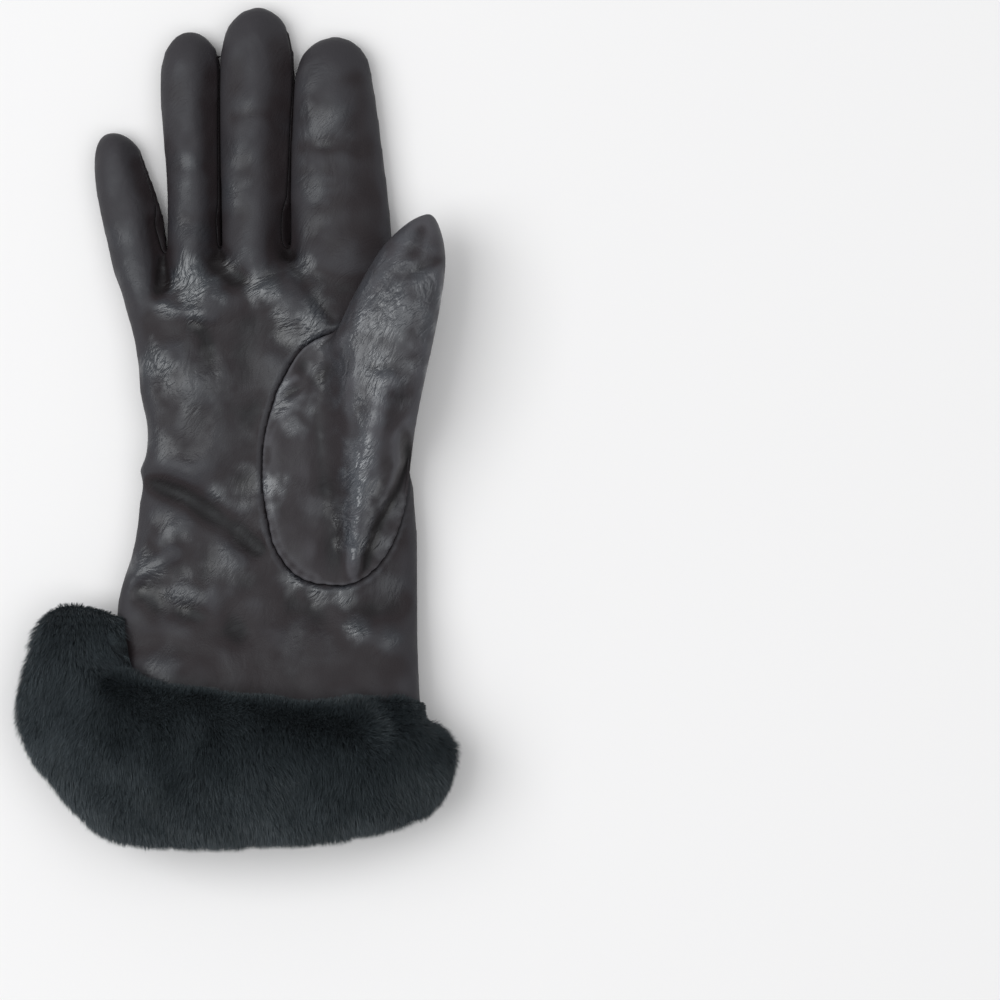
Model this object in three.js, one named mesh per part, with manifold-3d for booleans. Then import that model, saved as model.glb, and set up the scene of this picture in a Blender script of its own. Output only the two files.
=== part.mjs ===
// A fur-trimmed leather dress glove for the right hand, lying on its back with the palm up.
// Millimetres. +X points to the thumb's side, +Y to the fingertips, +Z up out of the palm.
// The origin is the middle of the glove's outline on the surface that it lies on.

import * as THREE from "three";
import { mergeVertices } from "three/addons/utils/BufferGeometryUtils.js";
import ManifoldModule from "manifold-3d";

const wasm = await ManifoldModule();
wasm.setup();

// Driving dimensions
const LEATHER = 1.2; // thickness of the leather
const GAP = 0.3; // clearance left along each seam
const ROUNDNESS = 2.4; // exponent of the flattened tubes' sections, 2 is an ellipse
const BACK_SQUARENESS = 1.35; // how much the lower half is pressed flat by what it lies on
const SAME_VERTEX = 1e-4; // distance under which two vertices are one
const SAME_TURN = 1e-6; // share of a turn under which two angles are one
const THINNEST = 0.3; // least half width or height of a tube that is inset
const OPEN_END = 5; // how far a hollow runs out past an open end
const CUT_BLOCK = 400; // a cutting block that is larger than the glove

// The hand of the glove, cut across at each y: its two edges, the lowest and highest line of the
// leather, and how far the left end of the cut drops towards the wrist.
const HAND = [
  { y: 59.5, left: -38.8, right: 51.6, low: 1.0, high: 13.5, drop: 10 },
  { y: 55.0, left: -38.4, right: 52.2, low: 0, high: 16.0, drop: 8 },
  { y: 48.0, left: -37.6, right: 53.4, low: 0, high: 17.5, drop: 4 },
  { y: 40.0, left: -36.4, right: 54.2, low: 0, high: 18.5, drop: 0 },
  { y: 31.0, left: -33.7, right: 55.1, low: 0, high: 19.0, drop: 0 },
  { y: 21.0, left: -32.0, right: 55.8, low: 0, high: 19.5, drop: 0 },
  { y: 11.0, left: -31.2, right: 56.1, low: 0, high: 20.0, drop: 0 },
  { y: 1.0, left: -29.0, right: 56.4, low: 0, high: 20.0, drop: 0 },
  { y: -8.5, left: -29.4, right: 57.1, low: 0, high: 20.0, drop: 0 },
  { y: -13.5, left: -31.4, right: 57.4, low: 0, high: 20.0, drop: 0 },
  { y: -18.5, left: -30.5, right: 58.8, low: 0, high: 19.5, drop: 0 },
  { y: -25.0, left: -31.6, right: 59.3, low: 0, high: 19.5, drop: 0 },
  { y: -33.0, left: -32.4, right: 60.0, low: 0, high: 19.5, drop: 0 },
  { y: -42.0, left: -34.2, right: 60.2, low: 0, high: 19.5, drop: 0 },
  { y: -49.0, left: -36.6, right: 60.2, low: 0, high: 19.5, drop: 0 },
  { y: -57.0, left: -38.4, right: 60.1, low: 0, high: 20.2, drop: 0 },
  { y: -65.0, left: -38.8, right: 60.0, low: 0.4, high: 21.4, drop: 0 },
  { y: -76.0, left: -38.6, right: 59.6, low: 3.2, high: 23.4, drop: 0 },
  { y: -92.0, left: -38.4, right: 59.8, low: 5.6, high: 25.5, drop: 0 },
];
const HAND_SIDES = 28;
const HAND_TOP_SHARE = 18 / 28; // share of a ring's sides that are on the palm's side
const DROP_FROM = -4; // x at which the knuckle line starts to drop
const DROP_TO = -23; // x at which it has dropped all the way

// Each finger from its tip to its root, cut across at each y.
const FINGERS = {
  little: [
    { y: 98.3, left: -41.0, right: -39.6, low: 5, high: 8.4 },
    { y: 97.0, left: -44.6, right: -36.2, low: 2.4, high: 10.8 },
    { y: 93.5, left: -46.3, right: -32.6, low: 0.8, high: 12.6 },
    { y: 88.0, left: -46.8, right: -29.8, low: 0, high: 13.6 },
    { y: 80.0, left: -46.3, right: -26.8, low: 0, high: 14.2 },
    { y: 70.0, left: -44.4, right: -23.9, low: 0, high: 14.6 },
    { y: 60.0, left: -42.1, right: -23.2, low: 0, high: 15.2 },
    { y: 52.0, left: -40.2, right: -23.3, low: 0, high: 16.0 },
    { y: 42.0, left: -36.4, right: -23.6, low: 0, high: 16.6 },
  ],
  ring: [
    { y: 131.6, left: -15.6, right: -14.0, low: 5, high: 8.4 },
    { y: 130.0, left: -19.6, right: -10.2, low: 2.4, high: 11.0 },
    { y: 125.0, left: -23.1, right: -5.9, low: 0.8, high: 13.2 },
    { y: 118.0, left: -24.6, right: -5.2, low: 0, high: 14.4 },
    { y: 107.0, left: -24.6, right: -5.1, low: 0, high: 14.8 },
    { y: 94.0, left: -23.6, right: -4.8, low: 0, high: 15.0 },
    { y: 80.0, left: -22.2, right: -4.4, low: 0, high: 15.2 },
    { y: 64.0, left: -22.2, right: -4.1, low: 0, high: 16.0 },
    { y: 43.0, left: -22.4, right: -4.0, low: 0, high: 16.8 },
  ],
  middle: [
    { y: 139.6, left: 6.8, right: 8.6, low: 5, high: 8.6 },
    { y: 138.0, left: 2.2, right: 12.2, low: 2.4, high: 11.4 },
    { y: 133.5, left: -1.9, right: 16.2, low: 0.8, high: 13.8 },
    { y: 125.0, left: -4.2, right: 18.6, low: 0, high: 15.2 },
    { y: 113.0, left: -4.4, right: 19.0, low: 0, high: 15.6 },
    { y: 99.0, left: -4.0, right: 18.6, low: 0, high: 15.8 },
    { y: 84.0, left: -3.6, right: 18.2, low: 0, high: 15.8 },
    { y: 68.0, left: -3.3, right: 17.7, low: 0, high: 16.2 },
    { y: 52.0, left: -3.3, right: 17.4, low: 0, high: 17.2 },
  ],
  index: [
    { y: 129.8, left: 32.0, right: 33.8, low: 5, high: 8.6 },
    { y: 128.2, left: 27.0, right: 38.0, low: 2.4, high: 11.4 },
    { y: 124.0, left: 22.6, right: 42.0, low: 0.8, high: 13.8 },
    { y: 116.0, left: 20.2, right: 45.0, low: 0, high: 15.2 },
    { y: 105.0, left: 19.7, right: 46.9, low: 0, high: 15.8 },
    { y: 92.0, left: 19.2, right: 48.6, low: 0, high: 16.0 },
    { y: 78.0, left: 18.8, right: 50.4, low: 0, high: 16.0 },
    { y: 65.0, left: 18.3, right: 51.6, low: 0, high: 16.4 },
    { y: 52.0, left: 18.1, right: 52.8, low: 0, high: 17.2 },
  ],
};
const FINGER_SIDES = 12;
const FINGER_TOP_SHARE = 7 / 12; // share of a ring's sides that are on the palm's side

// The forked strips between neighbouring fingers
const FORKS = [
  { name: "fourchette_index_middle", leftFinger: "middle", rightFinger: "index", crotch: 59.0 },
  { name: "fourchette_middle_ring", leftFinger: "ring", rightFinger: "middle", crotch: 59.0 },
  { name: "fourchette_ring_little", leftFinger: "little", rightFinger: "ring", crotch: 49.0 },
];
const FORK_MID_HEIGHT = 7.6; // height of the strips' middle line
const FORK_HALF_AT_CROTCH = 4.2;
const FORK_HALF_AT_TIP = 1.0;
const FORK_END = 7; // distance from a fingertip to the end of its strip
const FORK_FOOT = 5; // how far a strip's cut runs on below the crotch
const FORK_REACH = 0.6; // how far each arm's cut passes a finger's edge, into the gap
const FORK_CUT_HEIGHT = 24; // height of the block that an arm's plan is cut from
const FORK_OVERSHOOT = 1; // how far the wedge of an arm passes the ends of its plan

// The thumb, cut by planes that turn from the oval seam on the palm to the tip. A row holds the
// ends of the cut under the thumb and on its top line, and half its width.
const THUMB = [
  { underX: 33.5, underY: 33.0, underZ: 8.0, topX: 33.5, topY: -52.0, topZ: 8.0, halfWidth: 22.5 },
  { underX: 33.5, underY: 33.0, underZ: 17.0, topX: 33.5, topY: -52.0, topZ: 17.5, halfWidth: 22.8 },
  { underX: 36.0, underY: 33.5, underZ: 19.2, topX: 36.5, topY: -44.0, topZ: 22.2, halfWidth: 21.6 },
  { underX: 40.0, underY: 34.0, underZ: 19.8, topX: 40.5, topY: -28.0, topZ: 26.4, halfWidth: 19.2 },
  { underX: 44.0, underY: 35.0, underZ: 19.8, topX: 44.5, topY: -10.0, topZ: 30.2, halfWidth: 17.0 },
  { underX: 47.0, underY: 37.5, underZ: 19.4, topX: 48.0, topY: 6.0, topZ: 33.0, halfWidth: 16.0 },
  { underX: 50.0, underY: 41.5, underZ: 18.8, topX: 51.0, topY: 22.0, topZ: 34.8, halfWidth: 15.6 },
  { underX: 53.0, underY: 47.0, underZ: 18.0, topX: 54.0, topY: 36.0, topZ: 34.6, halfWidth: 14.6 },
  { underX: 56.5, underY: 54.0, underZ: 17.0, topX: 57.0, topY: 49.0, topZ: 32.6, halfWidth: 12.8 },
  { underX: 59.2, underY: 61.0, underZ: 16.4, topX: 59.4, topY: 59.0, topZ: 29.8, halfWidth: 10.0 },
  { underX: 62.0, underY: 67.6, underZ: 17.0, topX: 62.0, topY: 67.0, topZ: 26.6, halfWidth: 5.2 },
  { underX: 64.0, underY: 70.6, underZ: 20.0, topX: 64.0, topY: 70.4, topZ: 22.4, halfWidth: 1.2 },
];
const THUMB_SIDES = 16;

// Folds of the leather on the palm's side: the line of each, how far it spreads to either side and
// how far it stands above the leather round it, below it where negative.
const HAND_FOLDS = [
  { startX: -26, startY: -17, midX: -8.6, midY: -25, endX: 7.6, endY: -39, spread: 4.5, height: -2.2 },
  { startX: -31, startY: -13.5, midX: -20, midY: -14, endX: -8, endY: -17, spread: 4, height: 1.4 },
  { startX: -35, startY: -50, midX: -28, midY: -45, endX: -20, endY: -41, spread: 4.5, height: 1.8 },
  { startX: -30, startY: -55, midX: -17, midY: -62, endX: 0, endY: -67, spread: 5, height: -2.2 },
  { startX: -19, startY: -55, midX: -14, midY: -54, endX: -8, endY: -58, spread: 4, height: 1.4 },
  { startX: -30, startY: 17, midX: -26, midY: 20, endX: -22, endY: 23, spread: 4, height: 1.2 },
  { startX: -20, startY: 25, midX: -16, midY: 18, endX: -12, endY: 10, spread: 5, height: 1.2 },
  { startX: 4, startY: 33, midX: 4, midY: 8, endX: 3, endY: -17, spread: 8, height: -1.6 },
  { startX: -25, startY: 41, midX: -12, midY: 37, endX: 1, endY: 36, spread: 4.5, height: 1.3 },
  { startX: -10, startY: 56, midX: -6, midY: 51, endX: 4, endY: 48.5, spread: 4, height: -1.6 },
  { startX: 7, startY: 48.5, midX: 20, midY: 41, endX: 33, endY: 32, spread: 5, height: 1.6 },
  { startX: 14, startY: 30, midX: 20, midY: 22, endX: 27, endY: 16, spread: 5, height: -1.4 },
  { startX: 20, startY: 92, midX: 32, midY: 93, endX: 46, endY: 92, spread: 4, height: -1.3 },
  { startX: -2, startY: 103, midX: 6, midY: 104, endX: 16, endY: 102, spread: 4, height: -1.0 },
  { startX: -22, startY: 86, midX: -14, midY: 88, endX: -6, endY: 86, spread: 4, height: -1.0 },
  { startX: -22, startY: 64, midX: -15, midY: 62, endX: -7, endY: 64, spread: 4, height: 0.9 },
];
// Folds of the thumb: the ridge along its tube, the soft valley at its left, the cleft at its
// right, the recess at the head of the gusset and the ridge beside the tip.
const THUMB_FOLDS = [
  { startX: 52, startY: 18, midX: 42, midY: -6, endX: 38.3, endY: -38, spread: 4, height: 1.8 },
  { startX: 34, startY: 2, midX: 31, midY: -20, endX: 33, endY: -42, spread: 4.5, height: -1.8 },
  { startX: 56, startY: -8, midX: 51, midY: -25, endX: 43.5, endY: -40, spread: 4, height: -2.4 },
  { startX: 23, startY: 20, midX: 28, midY: 16, endX: 31, endY: 6, spread: 4, height: -1.4 },
  { startX: 56, startY: 61, midX: 46, midY: 50, endX: 41, endY: 34, spread: 3.5, height: 0.8 },
];
const FOLD_STEPS = 12; // steps along a fold when its distance is measured

// The fur cuff: the pelt ring that the fur grows on, and the outer form of the fur round it. The
// fur of the left side rises along the glove, by rise at its edge.
const PELT = [
  { y: -87.0, left: -41.4, right: 62.8, low: 2.7, high: 28.6 },
  { y: -93.0, left: -41.4, right: 62.8, low: 2.7, high: 28.8 },
  { y: -106.0, left: -41.0, right: 62.2, low: 3.0, high: 29.0 },
  { y: -118.0, left: -38.0, right: 58.0, low: 3.2, high: 28.6 },
  { y: -127.0, left: -34.0, right: 52.0, low: 3.6, high: 27.4 },
];
const CUFF_MIDDLE = { x: 10.6, z: 15 };
const PELT_THICKNESS = 2.2;
const BORE_FRONT = 14; // how far the bore is cut on over the leather, clear of the fur's front
const PELT_SIDES = 28;
const FUR = [
  { y: -85.5, left: -64.0, right: 61.5, low: -1, high: 32.0, rise: 26 },
  { y: -92.0, left: -72.0, right: 63.0, low: -3, high: 39.0, rise: 22 },
  { y: -100.0, left: -75.0, right: 68.0, low: -4, high: 44.0, rise: 15 },
  { y: -110.0, left: -73.0, right: 74.5, low: -4, high: 45.5, rise: 5 },
  { y: -120.0, left: -60.5, right: 73.5, low: -4, high: 43.5, rise: 0 },
  { y: -128.5, left: -49.0, right: 59.0, low: -3, high: 39.0, rise: 0 },
  { y: -135.0, left: -37.0, right: 39.0, low: 0, high: 35.0, rise: 0 },
  { y: -139.6, left: -24.0, right: 20.0, low: 5, high: 30.0, rise: 0 },
];
const RISE_FROM = -36; // x at which the fur starts to rise along the glove
const RISE_TO = -60; // x at which it has risen all the way
const UNDERFUR = 0.7; // share of the fur's depth that is dense underfur
const UNDERFUR_SIDES = 24;
const LOCKS_ROUND = 13; // locks in each row round the cuff
const LOCK_SIDES = 5;
const LOCK_STEPS = 2;
const FIRST_ROOT = -93; // y of the first row of roots, at the edge where the fur meets the leather
const LOCK_ROOT_RADIUS = 10;
const LOCK_FULLNESS = 0.45; // how much fuller than a cone a lock is, 0 is a cone
const LOCK_ROOT_DEPTH = 0.2; // where in the fur's depth a lock starts
const LOCK_BEND_AT = 0.55; // where along its length a lock bends
const LOCK_LIFT = 0.1; // how far the bend is lifted, as a share of the tip's height
const MOST_LIFT = 4;
const LOCK_LEAN = 14; // how far a lock's root lies nearer the hand than its tip
const LOCK_LOWEST_TIP = 3; // height under which the floor flattens the fur and no lock shows
const LOCK_TURN = 0.45; // how far each row of locks is turned against the next, in locks

const LEATHER_MATERIAL = { color: 0x3f3b40, roughness: 0.42, metalness: 0 };
const FUR_MATERIAL = { color: 0x20282c, roughness: 0.95, metalness: 0 };

// A value from 0 to 1 that eases in and out between two limits.
function easeBetween(value, from, to) {
  return THREE.MathUtils.smoothstep((value - from) / (to - from), 0, 1);
}

// Cosine or sine pressed towards a rounded rectangle.
function pressed(value, exponent) {
  return Math.sign(value) * Math.abs(value) ** (2 / exponent);
}

// The height that folds add to the leather at a point.
function foldHeight(lines, x, y) {
  let height = 0;
  for (const fold of lines) {
    let nearest = Infinity;
    for (const point of fold.points) {
      nearest = Math.min(nearest, Math.hypot(x - point.x, y - point.y));
    }
    height += fold.height * Math.exp(-((nearest / fold.spread) ** 2));
  }
  return height;
}

function foldLine(fold) {
  const curve = new THREE.QuadraticBezierCurve(
    new THREE.Vector2(fold.startX, fold.startY),
    new THREE.Vector2(fold.midX, fold.midY),
    new THREE.Vector2(fold.endX, fold.endY),
  );
  return { points: curve.getPoints(FOLD_STEPS), spread: fold.spread, height: fold.height };
}

const HAND_LINES = HAND_FOLDS.map(foldLine);
const THUMB_LINES = THUMB_FOLDS.map(foldLine);

// The angle of a ring's side, with topShare of the sides on the upper half.
function sideAngle(angle, topShare) {
  const turn = (angle / (2 * Math.PI) + 1 + SAME_TURN) % 1;
  if (turn < topShare) {
    return (Math.PI * turn) / topShare;
  }
  return Math.PI + (Math.PI * (turn - topShare)) / (1 - topShare);
}

// A closed tube whose rings follow the rows of a table. A unit cylinder gives the rings and the
// two ends, and place(row, angle, reach) gives the point of a ring, reach being 0 in its middle.
function ringTube(rowCount, sides, place, topShare = 0.5) {
  const cylinder = new THREE.CylinderGeometry(1, 1, 1, sides, rowCount - 1);
  cylinder.deleteAttribute("normal");
  cylinder.deleteAttribute("uv");
  const tube = mergeVertices(cylinder, SAME_VERTEX);
  const position = tube.attributes.position;
  for (let i = 0; i < position.count; i += 1) {
    const row = Math.round((0.5 - position.getY(i)) * (rowCount - 1));
    const angle = sideAngle(Math.atan2(position.getZ(i), position.getX(i)), topShare);
    const reach = Math.hypot(position.getX(i), position.getZ(i));
    const point = place(row, angle, reach);
    position.setXYZ(i, point.x, point.y, point.z);
  }
  return tube;
}

// A point of a flattened ring in a plane across the glove, inset from its outside.
function flatRingPoint(row, angle, reach, inset) {
  const halfWidth = Math.max((row.right - row.left) / 2 - inset, THINNEST) * reach;
  const halfHeight = Math.max((row.high - row.low) / 2 - inset, THINNEST) * reach;
  const across = pressed(Math.cos(angle), ROUNDNESS);
  const up = pressed(Math.sin(angle), ROUNDNESS);
  const x = (row.left + row.right) / 2 + halfWidth * across;
  const middle = (row.low + row.high) / 2;
  const stretch = up < 0 ? BACK_SQUARENESS : 1;
  const z = middle + halfHeight * Math.max(stretch * up, -1);
  return new THREE.Vector3(x, row.y, z);
}

// The folds lift or press a point of a ring, by how much of the ring's top it is on.
function folded(point, lines, facingUp) {
  point.z += foldHeight(lines, point.x, point.y) * Math.sqrt(facingUp);
  return point;
}

function handTube(inset) {
  const last = HAND.length - 1;
  return ringTube(HAND.length, HAND_SIDES, (index, angle, reach) => {
    const row = HAND[index];
    const point = flatRingPoint(row, angle, reach, inset);
    point.y -= row.drop * easeBetween(-point.x, -DROP_FROM, -DROP_TO);
    if (index === 0) {
      point.y -= inset;
    }
    if (index === last && inset > 0) {
      point.y -= OPEN_END;
    }
    return folded(point, HAND_LINES, Math.max(Math.sin(angle), 0) * reach);
  }, HAND_TOP_SHARE);
}

function fingerTube(rows, inset) {
  const root = rows[rows.length - 1].y;
  const length = rows[0].y - root;
  return ringTube(rows.length, FINGER_SIDES, (index, angle, reach) => {
    const row = rows[index];
    const point = flatRingPoint(row, angle, reach, inset);
    point.y -= (inset * (row.y - root)) / length;
    return folded(point, HAND_LINES, Math.max(Math.sin(angle), 0) * reach);
  }, FINGER_TOP_SHARE);
}

function thumbTube(inset) {
  const last = THUMB.length - 1;
  return ringTube(THUMB.length, THUMB_SIDES, (index, angle, reach) => {
    const row = THUMB[last - index];
    const under = new THREE.Vector3(row.underX, row.underY, row.underZ);
    const top = new THREE.Vector3(row.topX, row.topY, row.topZ);
    const middle = under.clone().lerp(top, 0.5);
    const rise = top.clone().sub(under);
    const halfRise = Math.max(rise.length() / 2 - inset, THINNEST) * reach;
    const halfWidth = Math.max(row.halfWidth - inset, THINNEST) * reach;
    const up = pressed(Math.sin(angle), ROUNDNESS);
    const across = pressed(Math.cos(angle), ROUNDNESS);
    const point = middle.addScaledVector(rise.normalize(), halfRise * up);
    point.x += halfWidth * across;
    if (index === 0) {
      point.y -= inset;
    }
    return folded(point, THUMB_LINES, ((1 + Math.sin(angle)) / 2) * reach);
  });
}

// Solids for cutting and joining, and back to a mesh's geometry.
function solidOf(geometry) {
  const bare = geometry.index ? geometry.clone() : geometry;
  bare.deleteAttribute("normal");
  bare.deleteAttribute("uv");
  const merged = mergeVertices(bare, SAME_VERTEX);
  const mesh = new wasm.Mesh({
    numProp: 3,
    vertProperties: new Float32Array(merged.attributes.position.array),
    triVerts: new Uint32Array(merged.index.array),
  });
  return new wasm.Manifold(mesh);
}

function geometryOf(solid) {
  const mesh = solid.getMesh();
  const geometry = new THREE.BufferGeometry();
  geometry.setAttribute("position", new THREE.BufferAttribute(new Float32Array(mesh.vertProperties), 3));
  geometry.setIndex(new THREE.BufferAttribute(new Uint32Array(mesh.triVerts), 1));
  geometry.computeVertexNormals();
  return geometry;
}

function joined(solids) {
  return solids.reduce((whole, solid) => whole.add(solid));
}

// The largest piece of a solid, without the slivers that a cut can leave.
function mainPiece(solid) {
  const pieces = solid.decompose();
  return pieces.reduce((best, piece) => (piece.volume() > best.volume() ? piece : best));
}

// The hand and the four fingers as one filled form.
function filledGlove(inset) {
  const tubes = [handTube(inset)];
  for (const rows of Object.values(FINGERS)) {
    tubes.push(fingerTube(rows, inset));
  }
  return joined(tubes.map(solidOf));
}

// The cut that one arm of a forked strip takes out of a finger's side.
function forkArm(rows, facingRight, crotch, growth) {
  const tipEnd = rows[0].y - FORK_END + growth;
  const foot = crotch - FORK_FOOT - growth;
  const length = tipEnd - foot;
  const inArm = rows.filter((row) => row.y < tipEnd && row.y > foot);
  const stations = [edgeAt(rows, tipEnd), ...inArm, edgeAt(rows, foot)];
  const outline = new THREE.Shape();
  const middles = stations.map((row) => new THREE.Vector2((row.left + row.right) / 2, row.y));
  const edges = stations.map((row) => {
    const edge = facingRight ? row.right + FORK_REACH : row.left - FORK_REACH;
    return new THREE.Vector2(edge, row.y);
  });
  outline.setFromPoints([...middles, ...edges.reverse()]);
  const plan = new THREE.ExtrudeGeometry(outline, { depth: FORK_CUT_HEIGHT, bevelEnabled: false });
  const side = new THREE.Shape();
  const atFoot = FORK_HALF_AT_CROTCH + growth;
  const atTip = FORK_HALF_AT_TIP + growth;
  side.moveTo(-FORK_OVERSHOOT, FORK_MID_HEIGHT - atFoot);
  side.lineTo(-FORK_OVERSHOOT, FORK_MID_HEIGHT + atFoot);
  side.lineTo(length + FORK_OVERSHOOT, FORK_MID_HEIGHT + atTip);
  side.lineTo(length + FORK_OVERSHOOT, FORK_MID_HEIGHT - atTip);
  side.closePath();
  const wedge = new THREE.ExtrudeGeometry(side, { depth: CUT_BLOCK, bevelEnabled: false });
  wedge.rotateY(Math.PI / 2);
  wedge.rotateX(Math.PI / 2);
  wedge.translate(-CUT_BLOCK / 2, foot, 0);
  return solidOf(plan).intersect(solidOf(wedge));
}

// A finger's row at any y, between the rows of its table.
function edgeAt(rows, y) {
  for (let i = 1; i < rows.length; i += 1) {
    const above = rows[i - 1];
    const below = rows[i];
    if (y <= above.y && y >= below.y) {
      const share = (above.y - y) / (above.y - below.y);
      return {
        y,
        left: THREE.MathUtils.lerp(above.left, below.left, share),
        right: THREE.MathUtils.lerp(above.right, below.right, share),
      };
    }
  }
  return rows[rows.length - 1];
}

function forkCut(fork, growth) {
  const left = forkArm(FINGERS[fork.leftFinger], true, fork.crotch, growth);
  const right = forkArm(FINGERS[fork.rightFinger], false, fork.crotch, growth);
  return left.add(right);
}

// A point on the outer form of the fur, at a row of its table and an angle round the cuff.
function furPoint(row, angle, depth) {
  const pelt = PELT[Math.floor(PELT.length / 2)];
  const outer = flatRingPoint(row, angle, 1, 0);
  const inner = flatRingPoint({ ...pelt, y: row.y }, angle, 1, 0);
  const point = inner.lerp(outer, depth);
  point.y += row.rise * easeBetween(-point.x, -RISE_FROM, -RISE_TO);
  return point;
}

// One lock: a cone bent along a curve from its root in the pelt to its tip.
function lock(root, tip, turn) {
  const bend = root.clone().lerp(tip, LOCK_BEND_AT);
  bend.z += Math.min(MOST_LIFT, tip.z * LOCK_LIFT);
  const curve = new THREE.QuadraticBezierCurve3(root, bend, tip);
  const cone = new THREE.ConeGeometry(1, 1, LOCK_SIDES, LOCK_STEPS);
  cone.deleteAttribute("normal");
  cone.deleteAttribute("uv");
  const geometry = mergeVertices(cone, SAME_VERTEX);
  const position = geometry.attributes.position;
  const frames = curve.computeFrenetFrames(LOCK_STEPS, false);
  for (let i = 0; i < position.count; i += 1) {
    const along = position.getY(i) + 0.5;
    const step = Math.round(along * LOCK_STEPS);
    const centre = curve.getPoint(along);
    const radius = along < 1 ? LOCK_ROOT_RADIUS * (1 - along) ** -LOCK_FULLNESS : 0;
    const sideways = position.getX(i) * Math.cos(turn) - position.getZ(i) * Math.sin(turn);
    const upward = position.getX(i) * Math.sin(turn) + position.getZ(i) * Math.cos(turn);
    centre.addScaledVector(frames.normals[step], sideways * radius);
    centre.addScaledVector(frames.binormals[step], -upward * radius);
    position.setXYZ(i, centre.x, centre.y, centre.z);
  }
  return solidOf(geometry);
}

function furCuff(gloveWithGap) {
  const pelt = solidOf(ringTube(PELT.length, PELT_SIDES, (index, angle, reach) => {
    return flatRingPoint(PELT[index], angle, reach, 0);
  }));
  const bore = solidOf(ringTube(PELT.length, PELT_SIDES, (index, angle, reach) => {
    const point = flatRingPoint(PELT[index], angle, reach, PELT_THICKNESS);
    if (index === 0) {
      point.y += BORE_FRONT;
    }
    if (index === PELT.length - 1) {
      point.y = FUR[FUR.length - 1].y - OPEN_END;
    }
    return point;
  }));
  const underfur = solidOf(ringTube(FUR.length, UNDERFUR_SIDES, (index, angle, reach) => {
    const point = furPoint(FUR[index], angle, UNDERFUR);
    return new THREE.Vector3(CUFF_MIDDLE.x, point.y, CUFF_MIDDLE.z).lerp(point, reach);
  }));
  const pieces = [pelt, underfur];
  FUR.forEach((row, index) => {
    for (let i = 0; i < LOCKS_ROUND; i += 1) {
      const angle = ((i + (index + 1) * LOCK_TURN) / LOCKS_ROUND) * 2 * Math.PI;
      const tip = furPoint(row, angle, 1);
      const root = furPoint(row, angle, LOCK_ROOT_DEPTH);
      root.y = Math.min(root.y + LOCK_LEAN, FIRST_ROOT + tip.y - row.y);
      if (tip.z > LOCK_LOWEST_TIP) {
        pieces.push(lock(root, tip, index + i));
      }
    }
  });
  const floor = new THREE.BoxGeometry(CUT_BLOCK, CUT_BLOCK, CUT_BLOCK);
  floor.translate(0, 0, -CUT_BLOCK / 2);
  const whole = joined(pieces).subtract(bore).subtract(gloveWithGap).subtract(solidOf(floor));
  return mainPiece(whole);
}

const group = new THREE.Group();

function addPiece(name, solid, finish) {
  const mesh = new THREE.Mesh(geometryOf(solid), new THREE.MeshStandardMaterial(finish));
  mesh.name = name;
  group.add(mesh);
}

const filled = filledGlove(0);
const hollow = filledGlove(LEATHER);
const gloveWithGap = filledGlove(-GAP);
const shell = filled.subtract(hollow);
const thumbHollow = solidOf(thumbTube(LEATHER));

let trank = shell.subtract(thumbHollow);
for (const fork of FORKS) {
  trank = trank.subtract(forkCut(fork, GAP));
}
addPiece("trank", mainPiece(trank), LEATHER_MATERIAL);
addPiece(
  "thumb",
  mainPiece(solidOf(thumbTube(0)).subtract(thumbHollow).subtract(gloveWithGap)),
  LEATHER_MATERIAL,
);
for (const fork of FORKS) {
  addPiece(fork.name, mainPiece(shell.intersect(forkCut(fork, 0))), LEATHER_MATERIAL);
}
addPiece("fur_cuff", furCuff(gloveWithGap), FUR_MATERIAL);

export default group;
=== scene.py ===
"""The looks of a fur-trimmed leather dress glove, lying on its back with the palm up.

Tables and sizes are in millimetres. Meshes are in metres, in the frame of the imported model:
+X points to the thumb's side, +Y to the fingertips and +Z up out of the palm.
"""

import logging
import math
from dataclasses import dataclass
from enum import Enum
from functools import partial
from typing import Callable, NamedTuple

import bmesh
import bpy
import numpy as np
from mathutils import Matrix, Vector, noise
from mathutils.bvhtree import BVHTree
from mathutils.kdtree import KDTree


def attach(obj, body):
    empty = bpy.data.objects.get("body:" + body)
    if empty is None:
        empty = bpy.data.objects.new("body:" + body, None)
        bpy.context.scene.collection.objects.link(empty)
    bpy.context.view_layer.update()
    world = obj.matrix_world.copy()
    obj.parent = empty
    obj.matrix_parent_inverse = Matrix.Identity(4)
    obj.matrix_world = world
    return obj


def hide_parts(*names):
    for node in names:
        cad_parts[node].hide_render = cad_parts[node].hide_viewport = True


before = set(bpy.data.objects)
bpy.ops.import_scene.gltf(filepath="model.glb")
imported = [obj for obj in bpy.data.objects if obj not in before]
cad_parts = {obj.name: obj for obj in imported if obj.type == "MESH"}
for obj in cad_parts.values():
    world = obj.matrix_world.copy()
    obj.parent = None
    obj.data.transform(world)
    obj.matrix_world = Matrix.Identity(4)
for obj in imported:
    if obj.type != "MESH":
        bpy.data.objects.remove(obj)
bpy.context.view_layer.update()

log = logging.getLogger("glove")

MM = 0.001
BODY = "root"

TubePlace = Callable[[np.ndarray, np.ndarray], np.ndarray]
Layers = tuple[tuple[float, float, float], ...]  # the size, depth and seed of each layer of noise


# Sizes of the glove


class Section(NamedTuple):
    """A cut across a flattened tube: its two edges, its lowest and highest line, in mm."""

    y: float
    left: float
    right: float
    low: float
    high: float
    drop: float = 0.0  # how far the left end of the cut drops towards the wrist


class ThumbSection(NamedTuple):
    """A cut across the thumb, from its end under the thumb to its end on the top line, in mm."""

    under_x: float
    under_y: float
    under_z: float
    top_x: float
    top_y: float
    top_z: float
    half_width: float


class Fold(NamedTuple):
    """A fold along a curve, seen from above, in mm, and a valley where its height is negative."""

    start_x: float
    start_y: float
    mid_x: float
    mid_y: float
    end_x: float
    end_y: float
    spread: float
    height: float


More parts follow.
